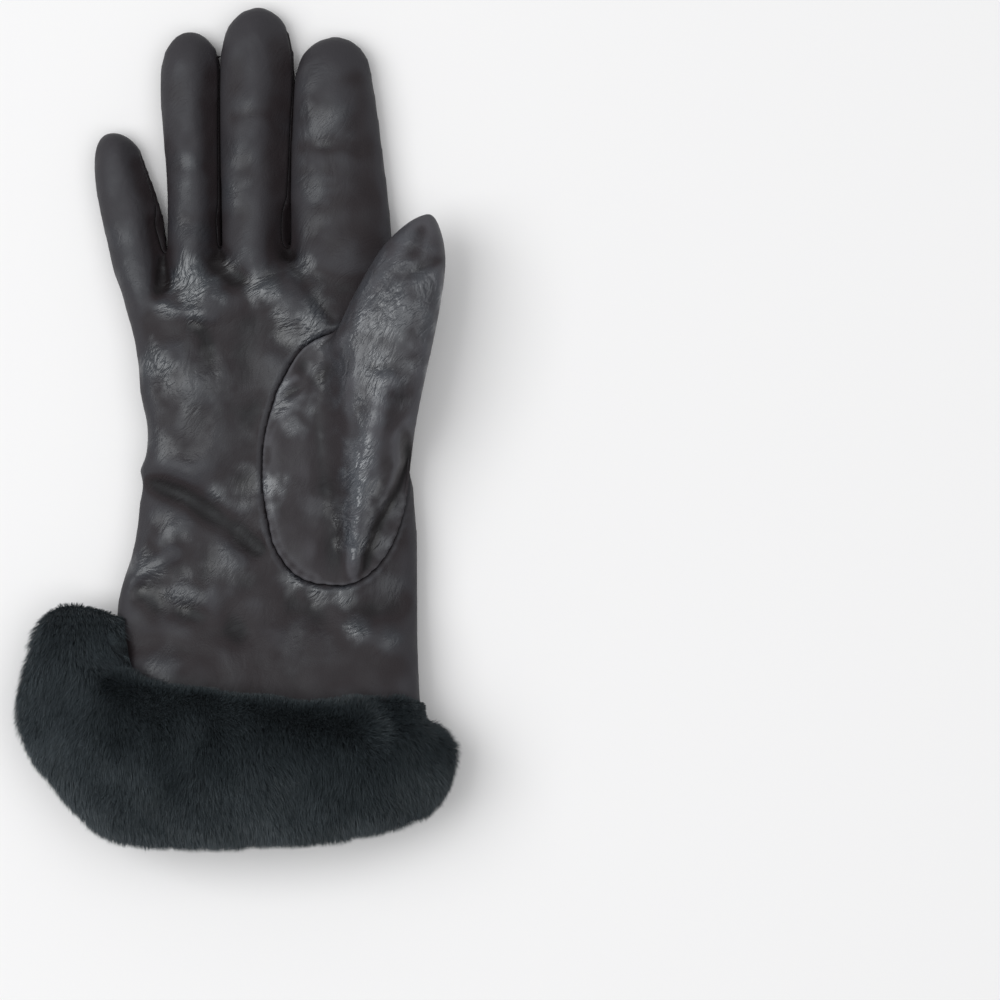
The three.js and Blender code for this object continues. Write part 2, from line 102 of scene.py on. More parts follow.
class Patch(NamedTuple):
    """A round patch in mm, finely wrinkled, rubbed shiny and given a painted glint, and how much so, up
    to 1.
    """

    x: float
    y: float
    reach: float
    shine: float


class FurSection(NamedTuple):
    """The fur over one direction round the cuff, in degrees from the thumb's side, sizes in mm."""

    turn: float
    front: float
    back: float
    reach: float
    front_fullness: float
    back_fullness: float


class Finger(Enum):
    """The four fingers, in the order in which they lie from left to right."""

    LITTLE = 0
    RING = 1
    MIDDLE = 2
    INDEX = 3


class Slot(Enum):
    """The record's material slots."""

    LEATHER = "leather"
    FUR = "fur"


def table(kind: type[tuple], *rows: tuple[float, ...]) -> tuple:
    """Turns rows of numbers into rows of one kind."""
    return tuple(kind(*row) for row in rows)


HAND = table(
    Section,
    (60.0, -38.8, 51.6, 2.0, 9.5, 7.5), (55.0, -38.4, 52.2, 0.0, 13.5, 6.0),
    (48.0, -37.6, 53.4, 0.0, 17.0, 3.0), (40.0, -36.4, 54.2, 0.0, 18.5),
    (31.0, -33.7, 55.1, 0.0, 19.0), (21.0, -32.0, 55.8, 0.0, 19.5),
    (11.0, -31.2, 56.1, 0.0, 20.0), (1.0, -29.0, 56.4, 0.0, 20.0),
    (-8.5, -29.4, 57.1, 0.0, 20.0), (-13.5, -31.4, 57.4, 0.0, 20.0),
    (-18.5, -30.5, 58.8, 0.0, 19.5), (-25.0, -31.6, 59.3, 0.0, 19.5),
    (-33.0, -32.4, 60.0, 0.0, 19.5), (-42.0, -34.2, 60.2, 0.0, 19.5),
    (-49.0, -36.6, 60.2, 0.0, 19.5), (-57.0, -38.6, 60.3, 0.0, 20.2),
    (-65.0, -39.0, 60.3, 0.4, 21.4), (-76.0, -38.8, 60.6, 3.2, 23.4),
    (-92.0, -38.4, 61.4, 5.6, 25.5),
)
FINGERS = {
    Finger.LITTLE: table(
        Section,
        (98.3, -41.0, -39.6, 5.0, 8.4), (97.0, -44.6, -36.2, 2.4, 10.8),
        (93.5, -46.3, -32.6, 0.8, 12.6), (88.0, -46.8, -29.8, 0.0, 13.6),
        (80.0, -46.3, -26.8, 0.0, 14.2), (70.0, -44.4, -23.7, 0.0, 14.6),
        (60.0, -42.1, -22.5, 0.0, 15.2), (52.0, -40.2, -22.7, 0.0, 16.0),
        (42.0, -36.4, -23.2, 0.0, 16.6),
    ),
    Finger.RING: table(
        Section,
        (131.6, -15.6, -14.0, 5.0, 8.4), (130.0, -19.6, -10.2, 2.4, 11.0),
        (125.0, -23.1, -5.6, 0.8, 13.2), (118.0, -24.8, -4.4, 0.0, 14.4),
        (107.0, -24.7, -4.5, 0.0, 14.8), (94.0, -23.7, -4.4, 0.0, 15.0),
        (80.0, -22.7, -4.2, 0.0, 15.2), (64.0, -22.5, -4.2, 0.0, 16.0),
        (43.0, -22.9, -4.6, 0.0, 16.8),
    ),
    Finger.MIDDLE: table(
        Section,
        (139.6, 6.8, 8.6, 5.0, 8.6), (138.0, 2.2, 12.2, 2.4, 11.4),
        (133.5, -2.1, 16.4, 0.8, 13.8), (125.0, -4.8, 19.3, 0.0, 15.2),
        (113.0, -5.2, 20.1, 0.0, 15.6), (99.0, -5.1, 19.7, 0.0, 15.8),
        (84.0, -4.9, 19.0, 0.0, 15.8), (68.0, -4.7, 18.7, 0.0, 16.2),
        (52.0, -4.0, 17.6, 0.0, 17.2),
    ),
    Finger.INDEX: table(
        Section,
        (129.8, 32.0, 33.8, 5.0, 8.6), (128.2, 27.0, 38.0, 2.4, 11.4),
        (124.0, 22.2, 42.0, 0.8, 13.8), (116.0, 19.6, 45.2, 0.0, 15.2),
        (105.0, 18.9, 47.1, 0.0, 15.8), (92.0, 18.4, 48.8, 0.0, 16.0),
        (78.0, 18.0, 50.6, 0.0, 16.0), (65.0, 18.0, 51.8, 0.0, 16.4),
        (52.0, 18.2, 53.0, 0.0, 17.2),
    ),
}
THUMB = table(
    ThumbSection,
    (33.0, 31.0, 8.0, 33.0, -53.0, 8.0, 23.8), (33.0, 31.5, 17.0, 33.0, -53.0, 17.5, 24.4),
    (34.5, 33.0, 19.6, 35.0, -47.0, 22.2, 23.4), (40.0, 34.0, 19.8, 40.5, -28.0, 26.4, 19.2),
    (44.0, 35.0, 19.8, 44.5, -10.0, 30.2, 17.0), (47.0, 37.5, 19.4, 48.0, 6.0, 33.0, 16.0),
    (50.0, 41.5, 18.8, 51.0, 22.0, 34.8, 15.6), (53.0, 47.0, 18.0, 54.0, 36.0, 34.6, 14.6),
    (56.5, 54.0, 17.0, 57.0, 49.0, 32.6, 12.8), (59.2, 61.0, 16.4, 59.4, 59.0, 29.8, 10.0),
    (62.0, 67.6, 17.0, 62.0, 67.0, 26.6, 5.2), (64.0, 70.6, 20.0, 64.0, 70.4, 22.4, 1.2),
)

# The folds of the palm and the fingers, and those of the thumb
HAND_FOLDS = table(
    Fold,
    (-26, 68, -25, 56, -24.5, 47, 3.0, -2.2), (-5.2, 70, -5.2, 63, -4.8, 58.5, 2.4, -1.6),
    (17, 72, 17.2, 64, 18, 58, 2.8, -2.2), (-29, -17, -11, -23, 7.6, -39, 4.6, -2.3),
    (-31, -12, -22, -12, -14, -15, 4.0, 0.9), (-35, -50, -28, -45, -20, -41, 3.2, 1.8),
    (-30, -55, -17, -62, 0, -67, 5.5, -1.9), (-19, -55, -14, -54, -8, -58, 4.0, 1.0),
    (-30, 17, -26, 20, -22, 23, 4.0, 1.2), (-20, 25, -16, 18, -12, 10, 5.0, 1.2),
    (4, 33, 4, 8, 3, -17, 8.0, -1.7), (-25, 40.5, -17, 38, -8, 37, 1.8, 0.9),
    (-11, 57, -8, 50, -8, 41, 5.0, 1.3), (-10, 56, -6, 51, 4, 48.5, 4.0, -1.6),
    (7, 48.5, 20, 41, 33, 32, 5.0, 1.6), (14, 30, 20, 22, 27, 16, 5.0, -1.0),
    (22, 93, 30, 94.5, 40, 92, 2.4, -0.6), (22, 82.5, 27, 83, 32, 82, 1.2, 0.4),
    (22, 78.5, 27, 79, 33, 78, 1.2, 0.35), (23, 75, 27, 75.5, 31, 74.5, 1.2, 0.35),
    (21, 118, 23, 121, 27, 123, 1.3, 0.4), (0, 103, 5, 104.5, 12, 103, 2.2, -0.5),
    (1, 92, 4, 94, 7, 97, 1.6, 0.4), (-20, 86, -15, 87.5, -10, 86, 2.2, -0.45),
    (-19, 95, -16, 97, -13, 99, 1.6, 0.35), (-22, 64, -15, 62, -7, 64, 4.0, 0.9),
    (-2, -41, -4, -47, -7, -53, 3.0, 0.9), (2, -42, 0, -48, -1, -53, 2.5, 0.8),
    (-20, -33, -23, -36, -25, -37, 2.5, 0.8), (19, 53, 27, 42, 32, 36, 1.6, -0.7),
    (11, 51, 9, 49, 7, 48, 1.2, -0.6), (-12, 34, -8, 28, -7, 20, 3.0, -0.8),
    (-22, -62, -14, -66, -6, -64, 3.5, 1.0), (36, -62, 42, -67, 52, -70, 4.0, 0.9),
    (20, -58, 34, -62, 56, -58, 5.0, -1.0), (-34, -72, -20, -70, -8, -75, 4.0, -0.9),
)
THUMB_FOLDS = table(
    Fold,
    (50, 14, 43.5, -10, 39.2, -44, 4.3, 2.9), (14.4, 11.2, 17, 15, 20.7, 17.4, 1.2, 0.8),
    (18.3, 11.5, 23, 13.5, 29, 17, 1.6, -1.0), (11.2, -5, 13, 1, 16.8, 5, 1.0, 0.5),
    (11, -13, 12, -20, 14.5, -28, 1.0, 0.5), (34, 2, 31, -20, 33, -42, 5.0, -1.4),
    (20, 6.5, 20.7, 5.3, 21.4, 4, 1.1, 0.5), (20, -1, 20.3, -3.3, 20.6, -5.5, 1.1, 0.5),
    (24.5, 7, 25.3, 5.7, 26, 4.4, 1.1, 0.4), (29, 13, 30, 16, 31, 19, 2.0, -0.9),
    (25, -30, 27, -26, 29, -22, 1.6, 0.4), (44.5, -42, 48, -37.5, 52, -35, 1.4, 0.6),
    (50, -30, 52.8, -25, 54, -18, 1.2, 0.5), (56, -8, 50.5, -24.5, 43.5, -40, 3.8, -2.8),
    (52.5, -13, 48.5, -22, 45.5, -31, 3.2, -1.5), (23, 20, 28, 16, 31, 6, 4.0, -1.6),
    (56, 61, 46, 50, 41, 34, 3.5, 0.9), (69, 55, 64, 54, 58.7, 50.5, 1.6, -0.9),
    (62, 66, 61, 62, 59, 58, 1.6, -0.6), (48, 14, 52, 10, 57, 10, 2.4, -0.8),
    (46, 21, 53, 19, 60, 22, 2.4, -0.6), (20, 2, 24, -8, 23, -18, 3.0, 0.8),
)
# The cleft on the outer side of the thumb's root, and the valley on its inner side, as x and y in mm
CLEFT = ((56.1, -11.2), (53.5, -18.5), (49.5, -26.1), (45.9, -33.3), (43.0, -41.0), (41.0, -52.0))
VALLEY = ((34.0, 30.0), (30.0, 16.0), (29.5, 3.0), (30.5, -10.0), (32.0, -30.0), (33.0, -46.0))
PATCHES = table(
    Patch,
    (-14, 48, 9, 1.0), (-22, 39.5, 4, 0.7), (-12, 37.5, 4.5, 0.7), (10, 47.5, 7, 0.8),
    (23, 35, 10, 0.75), (21.5, 52.5, 6, 0.6), (-2.3, 55, 4.5, 0.6), (-25, 20, 7, 0.8),
    (-13, 15, 12, 0.45), (-12, 0, 16, 0.25), (12, 20, 12, 0.2), (-24, -4, 6, 0.5),
    (4, -19, 7, 0.45), (-5.6, -21, 3.5, 0.5), (-22, -34, 6, 0.5), (-30, -46, 7, 0.6),
    (-3, -45, 8, 0.4), (-18, -54, 7, 0.5), (-22, -79, 6, 0.4), (40.5, -65.5, 4, 0.8),
    (52, -69, 3.5, 0.5), (21, -70, 8, 0.3), (19, -50, 4, 0.8), (27, -54, 4, 0.7),
    (36, -55, 4, 0.8), (50, -52, 6, 0.4), (-35, 50, 7, 0.25), (-38.5, 62, 5, 0.3),
    (28, 101, 9, 0.4), (25, 113, 5, 0.25), (25, 80, 6, 0.3), (23, 66, 6, 0.25),
    (4.6, 106, 4, 0.35), (0, 90, 6, 0.3), (-1, 80, 4, 0.45), (-1, 74, 4, 0.35),
    (-16.7, 88, 4, 0.35), (-16, 80.6, 4, 0.3), (-16.7, 74.5, 5, 0.3), (-11, 65, 4, 0.35),
    (-19, 66.5, 5, 0.35),
)
THUMB_PATCHES = table(
    Patch,
    (17, 9.6, 5, 0.6), (11.5, -20, 4.5, 0.75), (13, -26, 3, 0.6), (43, 41, 7, 0.5),
    (47, 20, 12, 0.8), (48.5, 10, 5, 0.8), (45.5, 3, 5, 0.8), (43, -4, 5, 0.9),
    (42, -11, 6, 0.9), (40.8, -18, 7, 1.0), (39.9, -25, 6, 1.0), (39.0, -31, 5.5, 1.0),
    (39.2, -37, 4.8, 1.0), (51, 40, 19, 0.75), (45, 22, 16, 0.65), (61, 46, 9, 0.7),
    (56, 62.5, 5, 0.5), (48, -38, 5, 0.6), (52.6, -26, 5, 0.5), (20.5, 1, 3.5, 0.6),
    (25.3, 5.7, 3, 0.7), (27, -26, 6, 0.3),
)
FUR_SECTIONS = table(
    FurSection,
    (-90, -90, -128, 6, 0.7, 0.8), (-45, -90, -126, 8.5, 4.0, 1.1),
    (0, -87.5, -126, 12.8, 10.0, 1.1), (15, -87, -127.5, 13.2, 9.0, 1.1),
    (40, -86.8, -131, 14.5, 3.0, 0.9), (60, -86.8, -133.8, 16.5, 0.9, 0.7),
    (78, -89, -136, 17, 0.55, 0.6), (90, -87.3, -136.8, 17.2, 0.5, 0.6),
    (125, -82.8, -137.6, 17.4, 0.5, 0.65), (150, -78.8, -135.4, 20, 0.5, 0.8),
    (158, -75, -134, 23, 0.5, 1.0), (166, -69, -132, 28, 0.45, 1.5),
    (180, -60, -130, 32.7, 0.42, 2.4), (195, -62, -128, 30, 0.45, 2.4),
    (225, -78, -127, 14, 0.6, 1.1), (270, -90, -128, 6, 0.7, 0.8),
)
PELT = Section(-106.0, -41.0, 62.2, 3.0, 29.0)

# How the leather is rounded, spread and pressed, in mm
ROUNDNESS = 2.4  # exponent of the flattened tubes' sections, where 2 is an ellipse
FINGER_ROUNDNESS = 1.9
# At the thumb's root: underneath and then on top, each at the right and then at the left
ROOT_ROUNDNESS = ((2.2, 1.85), (2.05, 2.7))
ROOT_ROWS = (2.0, 5.0)  # rows of THUMB over which the root's roundness turns into ROUNDNESS
LEAST_HEIGHT = 0.6  # of a tube's section
BACK_SQUARENESS = 1.35  # how much the lower half is pressed flat by what it lies on
ROOT_LENGTH = 11.0  # how far a finger's tube runs on inside the hand
ROOT_INSET = 4.5
FINGER_HEIGHT = 16.0
# How far each finger falls off towards its right side, at its full height
FINGER_SLOPE = {Finger.LITTLE: 6.0, Finger.RING: 6.0, Finger.MIDDLE: 6.0, Finger.INDEX: 3.0}
SLOPE_WIDTH = (0.0, 1.0)  # where that fall starts and ends, in half widths from the finger's middle
TIP_ROW = 3  # the row of a finger's table at which its round tip starts
LEATHER_END = -91.0  # y at which the leather ends inside the fur
DROP = (-4.0, -23.0)  # x from which and to which the knuckle line drops
# How far each finger is moved aside while the forms are fused, over which y, and the least gap
SPREAD = {Finger.LITTLE: -6.0, Finger.RING: -3.0, Finger.MIDDLE: 0.0, Finger.INDEX: 3.0}
SPREAD_Y = (50.0, 64.0)
LEAST_WEB = 0.1
WEB_ROUNDS = 8  # how often the webs between the fingers are smoothed
KNUCKLE_ROUNDS = 5  # how often the fingers' roots are smoothed on top
KNUCKLE_Y = (38.0, 60.0)
KNUCKLE_Z = 9.0
FLOOR_CLEARANCE = 0.05
CLEFT_WIDTH = (-2.2, 0.8)  # where the fall to the gusset starts and ends, from the cleft
CLEFT_FADE = (-12.0, 2.0)  # y over which the cleft fades out
GUSSET_RISE = 1.0  # how far the gusset stands above the palm
GUSSET_ROUNDS = 3
VALLEY_WIDTH = (-10.0, 3.0)  # where the fall to the inner valley starts and ends, from the valley
VALLEY_FADE = (16.0, 30.0)
VALLEY_RISE = 1.2  # how far the valley stands above the palm
PILLOW_RISE = 2.0  # how far the leather between the valley and the seam stands above the palm
PILLOW_WIDTH = (1.0, 8.0)
THUMB_SEAM_MIDDLE = (34.0, -9.0)
THUMB_SEAM_RADIUS = 31.0
SEAM_GAP = 0.05  # between the edges of two leather pieces, on each side of their seam

# The folds, the shiny patches, their creases and the soft dents, in mm
FOLD_STEPS = 17  # points along a fold's curve
FOLD_REACH = 3.0  # how far from its curve a fold is felt, in spreads
PATCH_NOISE = ((6.0, 0.8, 17.0), (2.5, 0.4, 19.0))  # the layers of the patches' ragged edges
PATCH_EDGE = 1.6  # where a patch has faded out, in reaches
CREASE_TURN = 50.0  # the direction in which the fine wrinkles run, in degrees
CREASE_SPACING = 2.6
CREASE_STRETCH = 3.2  # length of the wrinkles for their spacing
CREASE_SHARPNESS = 3.0
CREASE_DEPTH = 0.3
DENTS = ((15.0, 0.75, 7.0), (7.0, 0.42, 8.0))
SEED_STEPS = (1.0, 1.7, -0.6)  # how far a seed moves the noise along each axis

# The meshes: steps along each rolled tube and round it, and limits in mm
HAND_STEPS = (60, 72)
FINGER_STEPS = (48, 40)
THUMB_STEPS = (60, 56)
FUR_STEPS = (96, 260)
SAME_PLACE = 0.01  # vertices closer than this are welded
CUT_MARGIN = 0.04  # how near a cut comes to the end of an edge, as a share of the edge


# Numbers and fields


def ease(value: np.ndarray, start: float, end: float) -> np.ndarray:
    """Eases from 0 at start to 1 at end."""
    share = np.clip((value - start) / (end - start), 0.0, 1.0)
    return share * share * (3.0 - 2.0 * share)


def pressed(value: np.ndarray, exponent: float | np.ndarray) -> np.ndarray:
    """Presses a cosine or sine towards a rounded rectangle."""
    return np.sign(value) * np.abs(value) ** (2.0 / exponent)


def unit(vectors: np.ndarray) -> np.ndarray:
    """Scales vectors to a length of 1."""
    return vectors / np.linalg.norm(vectors, axis=1)[:, None]


def between_rows(rows: np.ndarray, at: np.ndarray) -> np.ndarray:
    """Reads a table between its rows, on a smooth curve through them.

    Args:
        rows: The table, one row for each step.
        at: The places to read, from 0 to the last row's number.

    Returns:
        One row for each place.
    """
    last = len(rows) - 1
    index = np.clip(np.floor(at).astype(int), 0, last - 1)
    share = (at - index)[:, None]
    before, start, end, after = (rows[np.clip(index + step, 0, last)] for step in (-1, 0, 1, 2))
    curve = share * (3.0 * (start - end) + after - before)
    curve = share * (2.0 * before - 5.0 * start + 4.0 * end - after + curve)
    return start + 0.5 * share * (end - before + curve)


def ring_points(sections: np.ndarray, angle: np.ndarray, exponent: float = ROUNDNESS) -> np.ndarray:
    """Places points on flattened rings.

    Args:
        sections: One Section for each point, as rows of numbers.
        angle: The angle of each point round its ring.
        exponent: How square the rings are.

    Returns:
        The points, in mm.
    """
    y, left, right, low, high = sections[:, :5].T
    half_height = np.maximum(high - low, LEAST_HEIGHT) / 2
    up = pressed(np.sin(angle), exponent)
    lift = np.where(up < 0, np.maximum(BACK_SQUARENESS * up, -1.0), up)
    x = (left + right) / 2 + (right - left) / 2 * pressed(np.cos(angle), exponent)
    return np.column_stack([x, y, (low + high) / 2 + half_height * lift])


def noise_at(points: np.ndarray, size: float, seed: float = 0.0) -> np.ndarray:
    """Smooth noise from -1 to 1 at points, for lumps of a size in mm."""
    offset = Vector([step * seed for step in SEED_STEPS])
    return np.array([noise.noise(Vector(point) / size + offset) for point in points])


def lumps_at(points: np.ndarray, layers: Layers) -> np.ndarray:
    """Adds up layers of smooth noise at points, each with its size, its depth and its seed."""
    return sum(depth * noise_at(points, size, seed) for size, depth, seed in layers)


def fold_heights(points: np.ndarray, folds: tuple[Fold, ...]) -> np.ndarray:
    """Adds up the heights of folds, seen from above.

    Args:
        points: The points, in mm.
        folds: The folds.

    Returns:
        The height at each point, in mm.
    """
    steps = np.linspace(0.0, 1.0, FOLD_STEPS)[:, None]
    total = np.zeros(len(points))
    for fold in folds:
        start, mid, end = (np.array(fold[i : i + 2]) for i in (0, 2, 4))
        line = (1 - steps) ** 2 * start + 2 * steps * (1 - steps) * mid + steps**2 * end
        reach = FOLD_REACH * fold.spread
        low, high = line.min(0) - reach, line.max(0) + reach
        inside = np.all((points[:, :2] > low) & (points[:, :2] < high), axis=1)
        near = points[inside, :2]
        distance = np.full(len(near), np.inf)
        for first, second in zip(line[:-1], line[1:]):
            along = second - first
            share = np.clip((near - first) @ along / (along @ along), 0.0, 1.0)
            gap = near - first - share[:, None] * along
            distance = np.minimum(distance, np.hypot(gap[:, 0], gap[:, 1]))
        total[inside] += fold.height * np.exp(-((distance / fold.spread) ** 2))
    return total


def shine_at(points: np.ndarray, patches: tuple[Patch, ...]) -> np.ndarray:
    """Adds up how shiny and wrinkled the leather is in its patches, seen from above.

    Args:
        points: The points, in mm.
        patches: The shiny patches.

    Returns:
        The shine at each point, from 0 to 1.
    """
    total = np.zeros(len(points))
    if not patches:
        return total
    ragged = lumps_at(points, PATCH_NOISE)
    for patch in patches:
        distance = np.hypot(points[:, 0] - patch.x, points[:, 1] - patch.y) / patch.reach
        total = np.maximum(total, patch.shine * (1.0 - ease(distance + ragged, 0.0, PATCH_EDGE)))
    return total


def crease_heights(points: np.ndarray, shine: np.ndarray) -> np.ndarray:
    """Cuts creases, sharp at their bottom, across the shiny patches.

    Args:
        points: The points, in mm.
        shine: The shine at each point.

    Returns:
        The height at each point, in mm, 0 or below.
    """
    inside = shine > 0
    turn = math.radians(CREASE_TURN)
    along = points[inside, :2] @ (math.cos(turn), math.sin(turn))
    across = points[inside, :2] @ (-math.sin(turn), math.cos(turn))
    place = np.column_stack([along / CREASE_STRETCH, across, points[inside, 2] / 2]) / CREASE_SPACING
    creases = np.clip(1.0 - CREASE_SHARPNESS * np.abs(noise_at(place, 1.0)), 0.0, 1.0) ** 2
    total = np.zeros(len(points))
    total[inside] = -CREASE_DEPTH * shine[inside] * creases
    return total


def keep_off_floor(points: np.ndarray, clearance: float = FLOOR_CLEARANCE) -> None:
    """Lifts the points that lie lower than a clearance above the floor, in mm."""
    points[..., 2] = np.maximum(points[..., 2], clearance)


# Meshes


def read_points(mesh: bpy.types.Mesh) -> np.ndarray:
    """Reads the vertices of a mesh.

    Args:
        mesh: The mesh.

    Returns:
        Their places, in mm.
    """
    points = np.empty(len(mesh.vertices) * 3, np.float32)
    mesh.vertices.foreach_get("co", points)
    return points.reshape(-1, 3).astype(float) / MM


def write_points(mesh: bpy.types.Mesh, points: np.ndarray) -> None:
    """Sets the vertices of a mesh from places in mm."""
    mesh.vertices.foreach_set("co", (points * MM).astype(np.float32).ravel())
    mesh.update()


def read_normals(mesh: bpy.types.Mesh) -> np.ndarray:
    """Reads the normals at the vertices of a mesh.

    Args:
        mesh: The mesh.

    Returns:
        The normals.
    """
    normals = np.empty(len(mesh.vertices) * 3, np.float32)
    mesh.vertex_normals.foreach_get("vector", normals)
    return normals.reshape(-1, 3).astype(float)


def write_attribute(mesh: bpy.types.Mesh, name: str, values: np.ndarray) -> None:
    """Stores a number for each vertex of a mesh as an attribute."""
    mesh.attributes.new(name, "FLOAT", "POINT").data.foreach_set("value", values.astype(np.float32))


def read_mesh(piece: bpy.types.Object) -> bmesh.types.BMesh:
    """Reads a piece's mesh into a bmesh.

    Args:
        piece: The piece.

    Returns:
        The bmesh, with its vertices ready to be looked up by number.
    """
    bm = bmesh.new()
    bm.from_mesh(piece.data)
    bm.verts.ensure_lookup_table()
    return bm


def write_mesh(piece: bpy.types.Object, bm: bmesh.types.BMesh) -> None:
    """Writes a bmesh back to its piece and frees it."""
    bm.to_mesh(piece.data)
    bm.free()


def new_object(name: str, data: bpy.types.ID) -> bpy.types.Object:
    """Makes an object and links it to the scene.

    Args:
        name: The object's name.
        data: Its mesh, light or camera.

    Returns:
        The object.
    """
    made = bpy.data.objects.new(name, data)
    bpy.context.scene.collection.objects.link(made)
    return made


def new_piece(name: str, bm: bmesh.types.BMesh) -> bpy.types.Object:
    """Makes a piece of a bmesh, which is freed.

    Args:
        name: The piece's name.
        bm: Its bmesh.

    Returns:
        The piece.
    """
    piece = new_object(name, bpy.data.meshes.new(name))
    write_mesh(piece, bm)
    return piece


def apply_modifiers(piece: bpy.types.Object) -> None:
    """Replaces a piece's mesh by what its modifiers make of it.

    Args:
        piece: The piece.
    """
    evaluated = piece.evaluated_get(bpy.context.evaluated_depsgraph_get())
    mesh = bpy.data.meshes.new_from_object(evaluated)
    piece.modifiers.clear()
    old = piece.data
    piece.data = mesh
    bpy.data.meshes.remove(old)


def tube(place: TubePlace, rows: int, sides: int) -> bmesh.types.BMesh:
    """Rolls a grid into a closed tube.

    Args:
        place: Gives points in mm for shares of the length and angles round the tube.
        rows: Steps along the tube.
        sides: Steps round the tube.

    Returns:
        The tube, with its two ends closed.
    """
    bm = bmesh.new()
    bmesh.ops.create_grid(bm, x_segments=sides, y_segments=rows, size=1.0)
    flat = np.array([vert.co[:2] for vert in bm.verts])
    points = place((flat[:, 1] + 1.0) / 2, (flat[:, 0] + 1.0) * math.pi)
    for vert, point in zip(bm.verts, points):
        vert.co = point * MM
    bmesh.ops.remove_doubles(bm, verts=bm.verts[:], dist=SAME_PLACE * MM)
    ends = [edge for edge in bm.edges if edge.is_boundary]
    if ends:
        bmesh.ops.holes_fill(bm, edges=ends, sides=0)
    bmesh.ops.recalc_face_normals(bm, faces=bm.faces[:])
    return bm


def join_into(whole: bmesh.types.BMesh, part: bmesh.types.BMesh) -> None:
    """Adds one bmesh to another and frees it.

    Args:
        whole: The bmesh that grows.
        part: The bmesh that is added.
    """
    carrier = bpy.data.meshes.new("carrier")
    part.to_mesh(carrier)
    part.free()
    whole.from_mesh(carrier)
    bpy.data.meshes.remove(carrier)


def remesh(piece: bpy.types.Object, voxel: float) -> None:
    """Fuses a piece's tubes into one skin of even faces.

    Args:
        piece: The piece, one or more closed tubes.
        voxel: The size of the faces, in mm.
    """
    modifier = piece.modifiers.new("fuse", "REMESH")
    modifier.mode = "VOXEL"
    modifier.voxel_size = voxel * MM
    apply_modifiers(piece)


def relax(bm: bmesh.types.BMesh, verts: list[bmesh.types.BMVert], factor: float = 0.5) -> None:
    """Moves vertices a part of the way to the middle of their neighbours.

    Args:
        bm: The mesh, changed in place.
        verts: The vertices that move.
        factor: The part of the way.
    """
    bmesh.ops.smooth_vert(
        bm, verts=verts, factor=factor, use_axis_x=True, use_axis_y=True, use_axis_z=True
    )


def smooth(piece: bpy.types.Object, rounds: int, chosen: np.ndarray | None = None) -> None:
    """Smooths a piece's mesh, or a part of it.

    Args:
        piece: The piece.
        rounds: How often it is smoothed.
        chosen: True for each vertex that moves, or None for all of them.
    """
    bm = read_mesh(piece)
    verts = bm.verts[:] if chosen is None else [bm.verts[i] for i in np.flatnonzero(chosen)]
    for _ in range(rounds):
        relax(bm, verts)
    write_mesh(piece, bm)


def split_along(bm: bmesh.types.BMesh, field: np.ndarray) -> list[bmesh.types.BMVert]:
    """Cuts new edges into a mesh along the line where a field is 0.

    Args:
        bm: The mesh, changed in place.
        field: The field's value at each vertex.

    Returns:
        The new vertices on the line, after the old ones in the mesh.
    """
    bm.verts.index_update()
    crossing, percents = [], {}
    for edge in bm.edges:
        first, second = (field[vert.index] for vert in edge.verts)
        if (first > 0) != (second > 0):
            crossing.append(edge)
            percents[edge] = float(np.clip(first / (first - second), CUT_MARGIN, 1.0 - CUT_MARGIN))
    made = bmesh.ops.bisect_edges(bm, edges=crossing, cuts=1, edge_percents=percents)
    line = [item for item in made["geom_split"] if isinstance(item, bmesh.types.BMVert)]
    bmesh.ops.connect_verts(bm, verts=line)
    return line


def keep_side(source: bpy.types.Object, name: str, field: np.ndarray, inside: bool) -> bpy.types.Object:
    """Copies the part of a piece on one side of the line where a field is 0.

    Args:
        source: The piece that is cut.
        name: The new piece's name.
        field: The field's value at each of its vertices.
        inside: True for the part where the field is above 0.

    Returns:
        The new piece.
    """
    bm = read_mesh(source)
    value = bm.verts.layers.float.new("field")
    for vert, amount in zip(bm.verts, field):
        vert[value] = float(amount)
    for vert in split_along(bm, field):
        vert[value] = 0.0
    sign = 1.0 if inside else -1.0
    away = [face for face in bm.faces if sum(vert[value] for vert in face.verts) * sign < 0]
    bmesh.ops.delete(bm, geom=away, context="FACES")
    bm.verts.layers.float.remove(value)
    return new_piece(name, bm)


def surface_tree(piece: bpy.types.Object) -> BVHTree:
    """Makes a search tree over a piece's faces.

    Args:
        piece: The piece.

    Returns:
        The tree, in metres.
    """
    bm = read_mesh(piece)
    tree = BVHTree.FromBMesh(bm)
    bm.free()
    return tree


def depth_in(points: np.ndarray, tree: BVHTree) -> np.ndarray:
    """Measures how far points lie above a closed surface.

    Args:
        points: The points, in mm.
        tree: The search tree over the surface.

    Returns:
        The distances in mm, negative inside the surface.
    """
    depths = np.empty(len(points))
    for index, point in enumerate(points):
        place = Vector(point) * MM
        nearest, normal, _, distance = tree.find_nearest(place)
        depths[index] = math.copysign(distance, (place - nearest).dot(normal)) / MM
    return depths


def border_distance(
    piece: bpy.types.Object, first_y: float = -math.inf, last_y: float = math.inf
) -> tuple[np.ndarray, np.ndarray]:
    """Measures how far each vertex lies from the nearest cut edge of a piece.

    Args:
        piece: The piece, an open surface.
        first_y: Only edges above this y in mm count.
        last_y: Only edges below this y in mm count.

    Returns:
        The distances in mm, and the nearest border vertex of each vertex.
    """
    bm = read_mesh(piece)
    border = sorted({vert.index for edge in bm.edges if edge.is_boundary for vert in edge.verts})
    bm.free()
    points = read_points(piece.data)
    border = [index for index in border if first_y < points[index, 1] < last_y]
    tree = KDTree(len(border))
    for index in border:
        tree.insert(points[index], index)
    tree.balance()
    _, nearest, distances = zip(*(tree.find(point) for point in points))
    return np.array(distances), np.array(nearest)


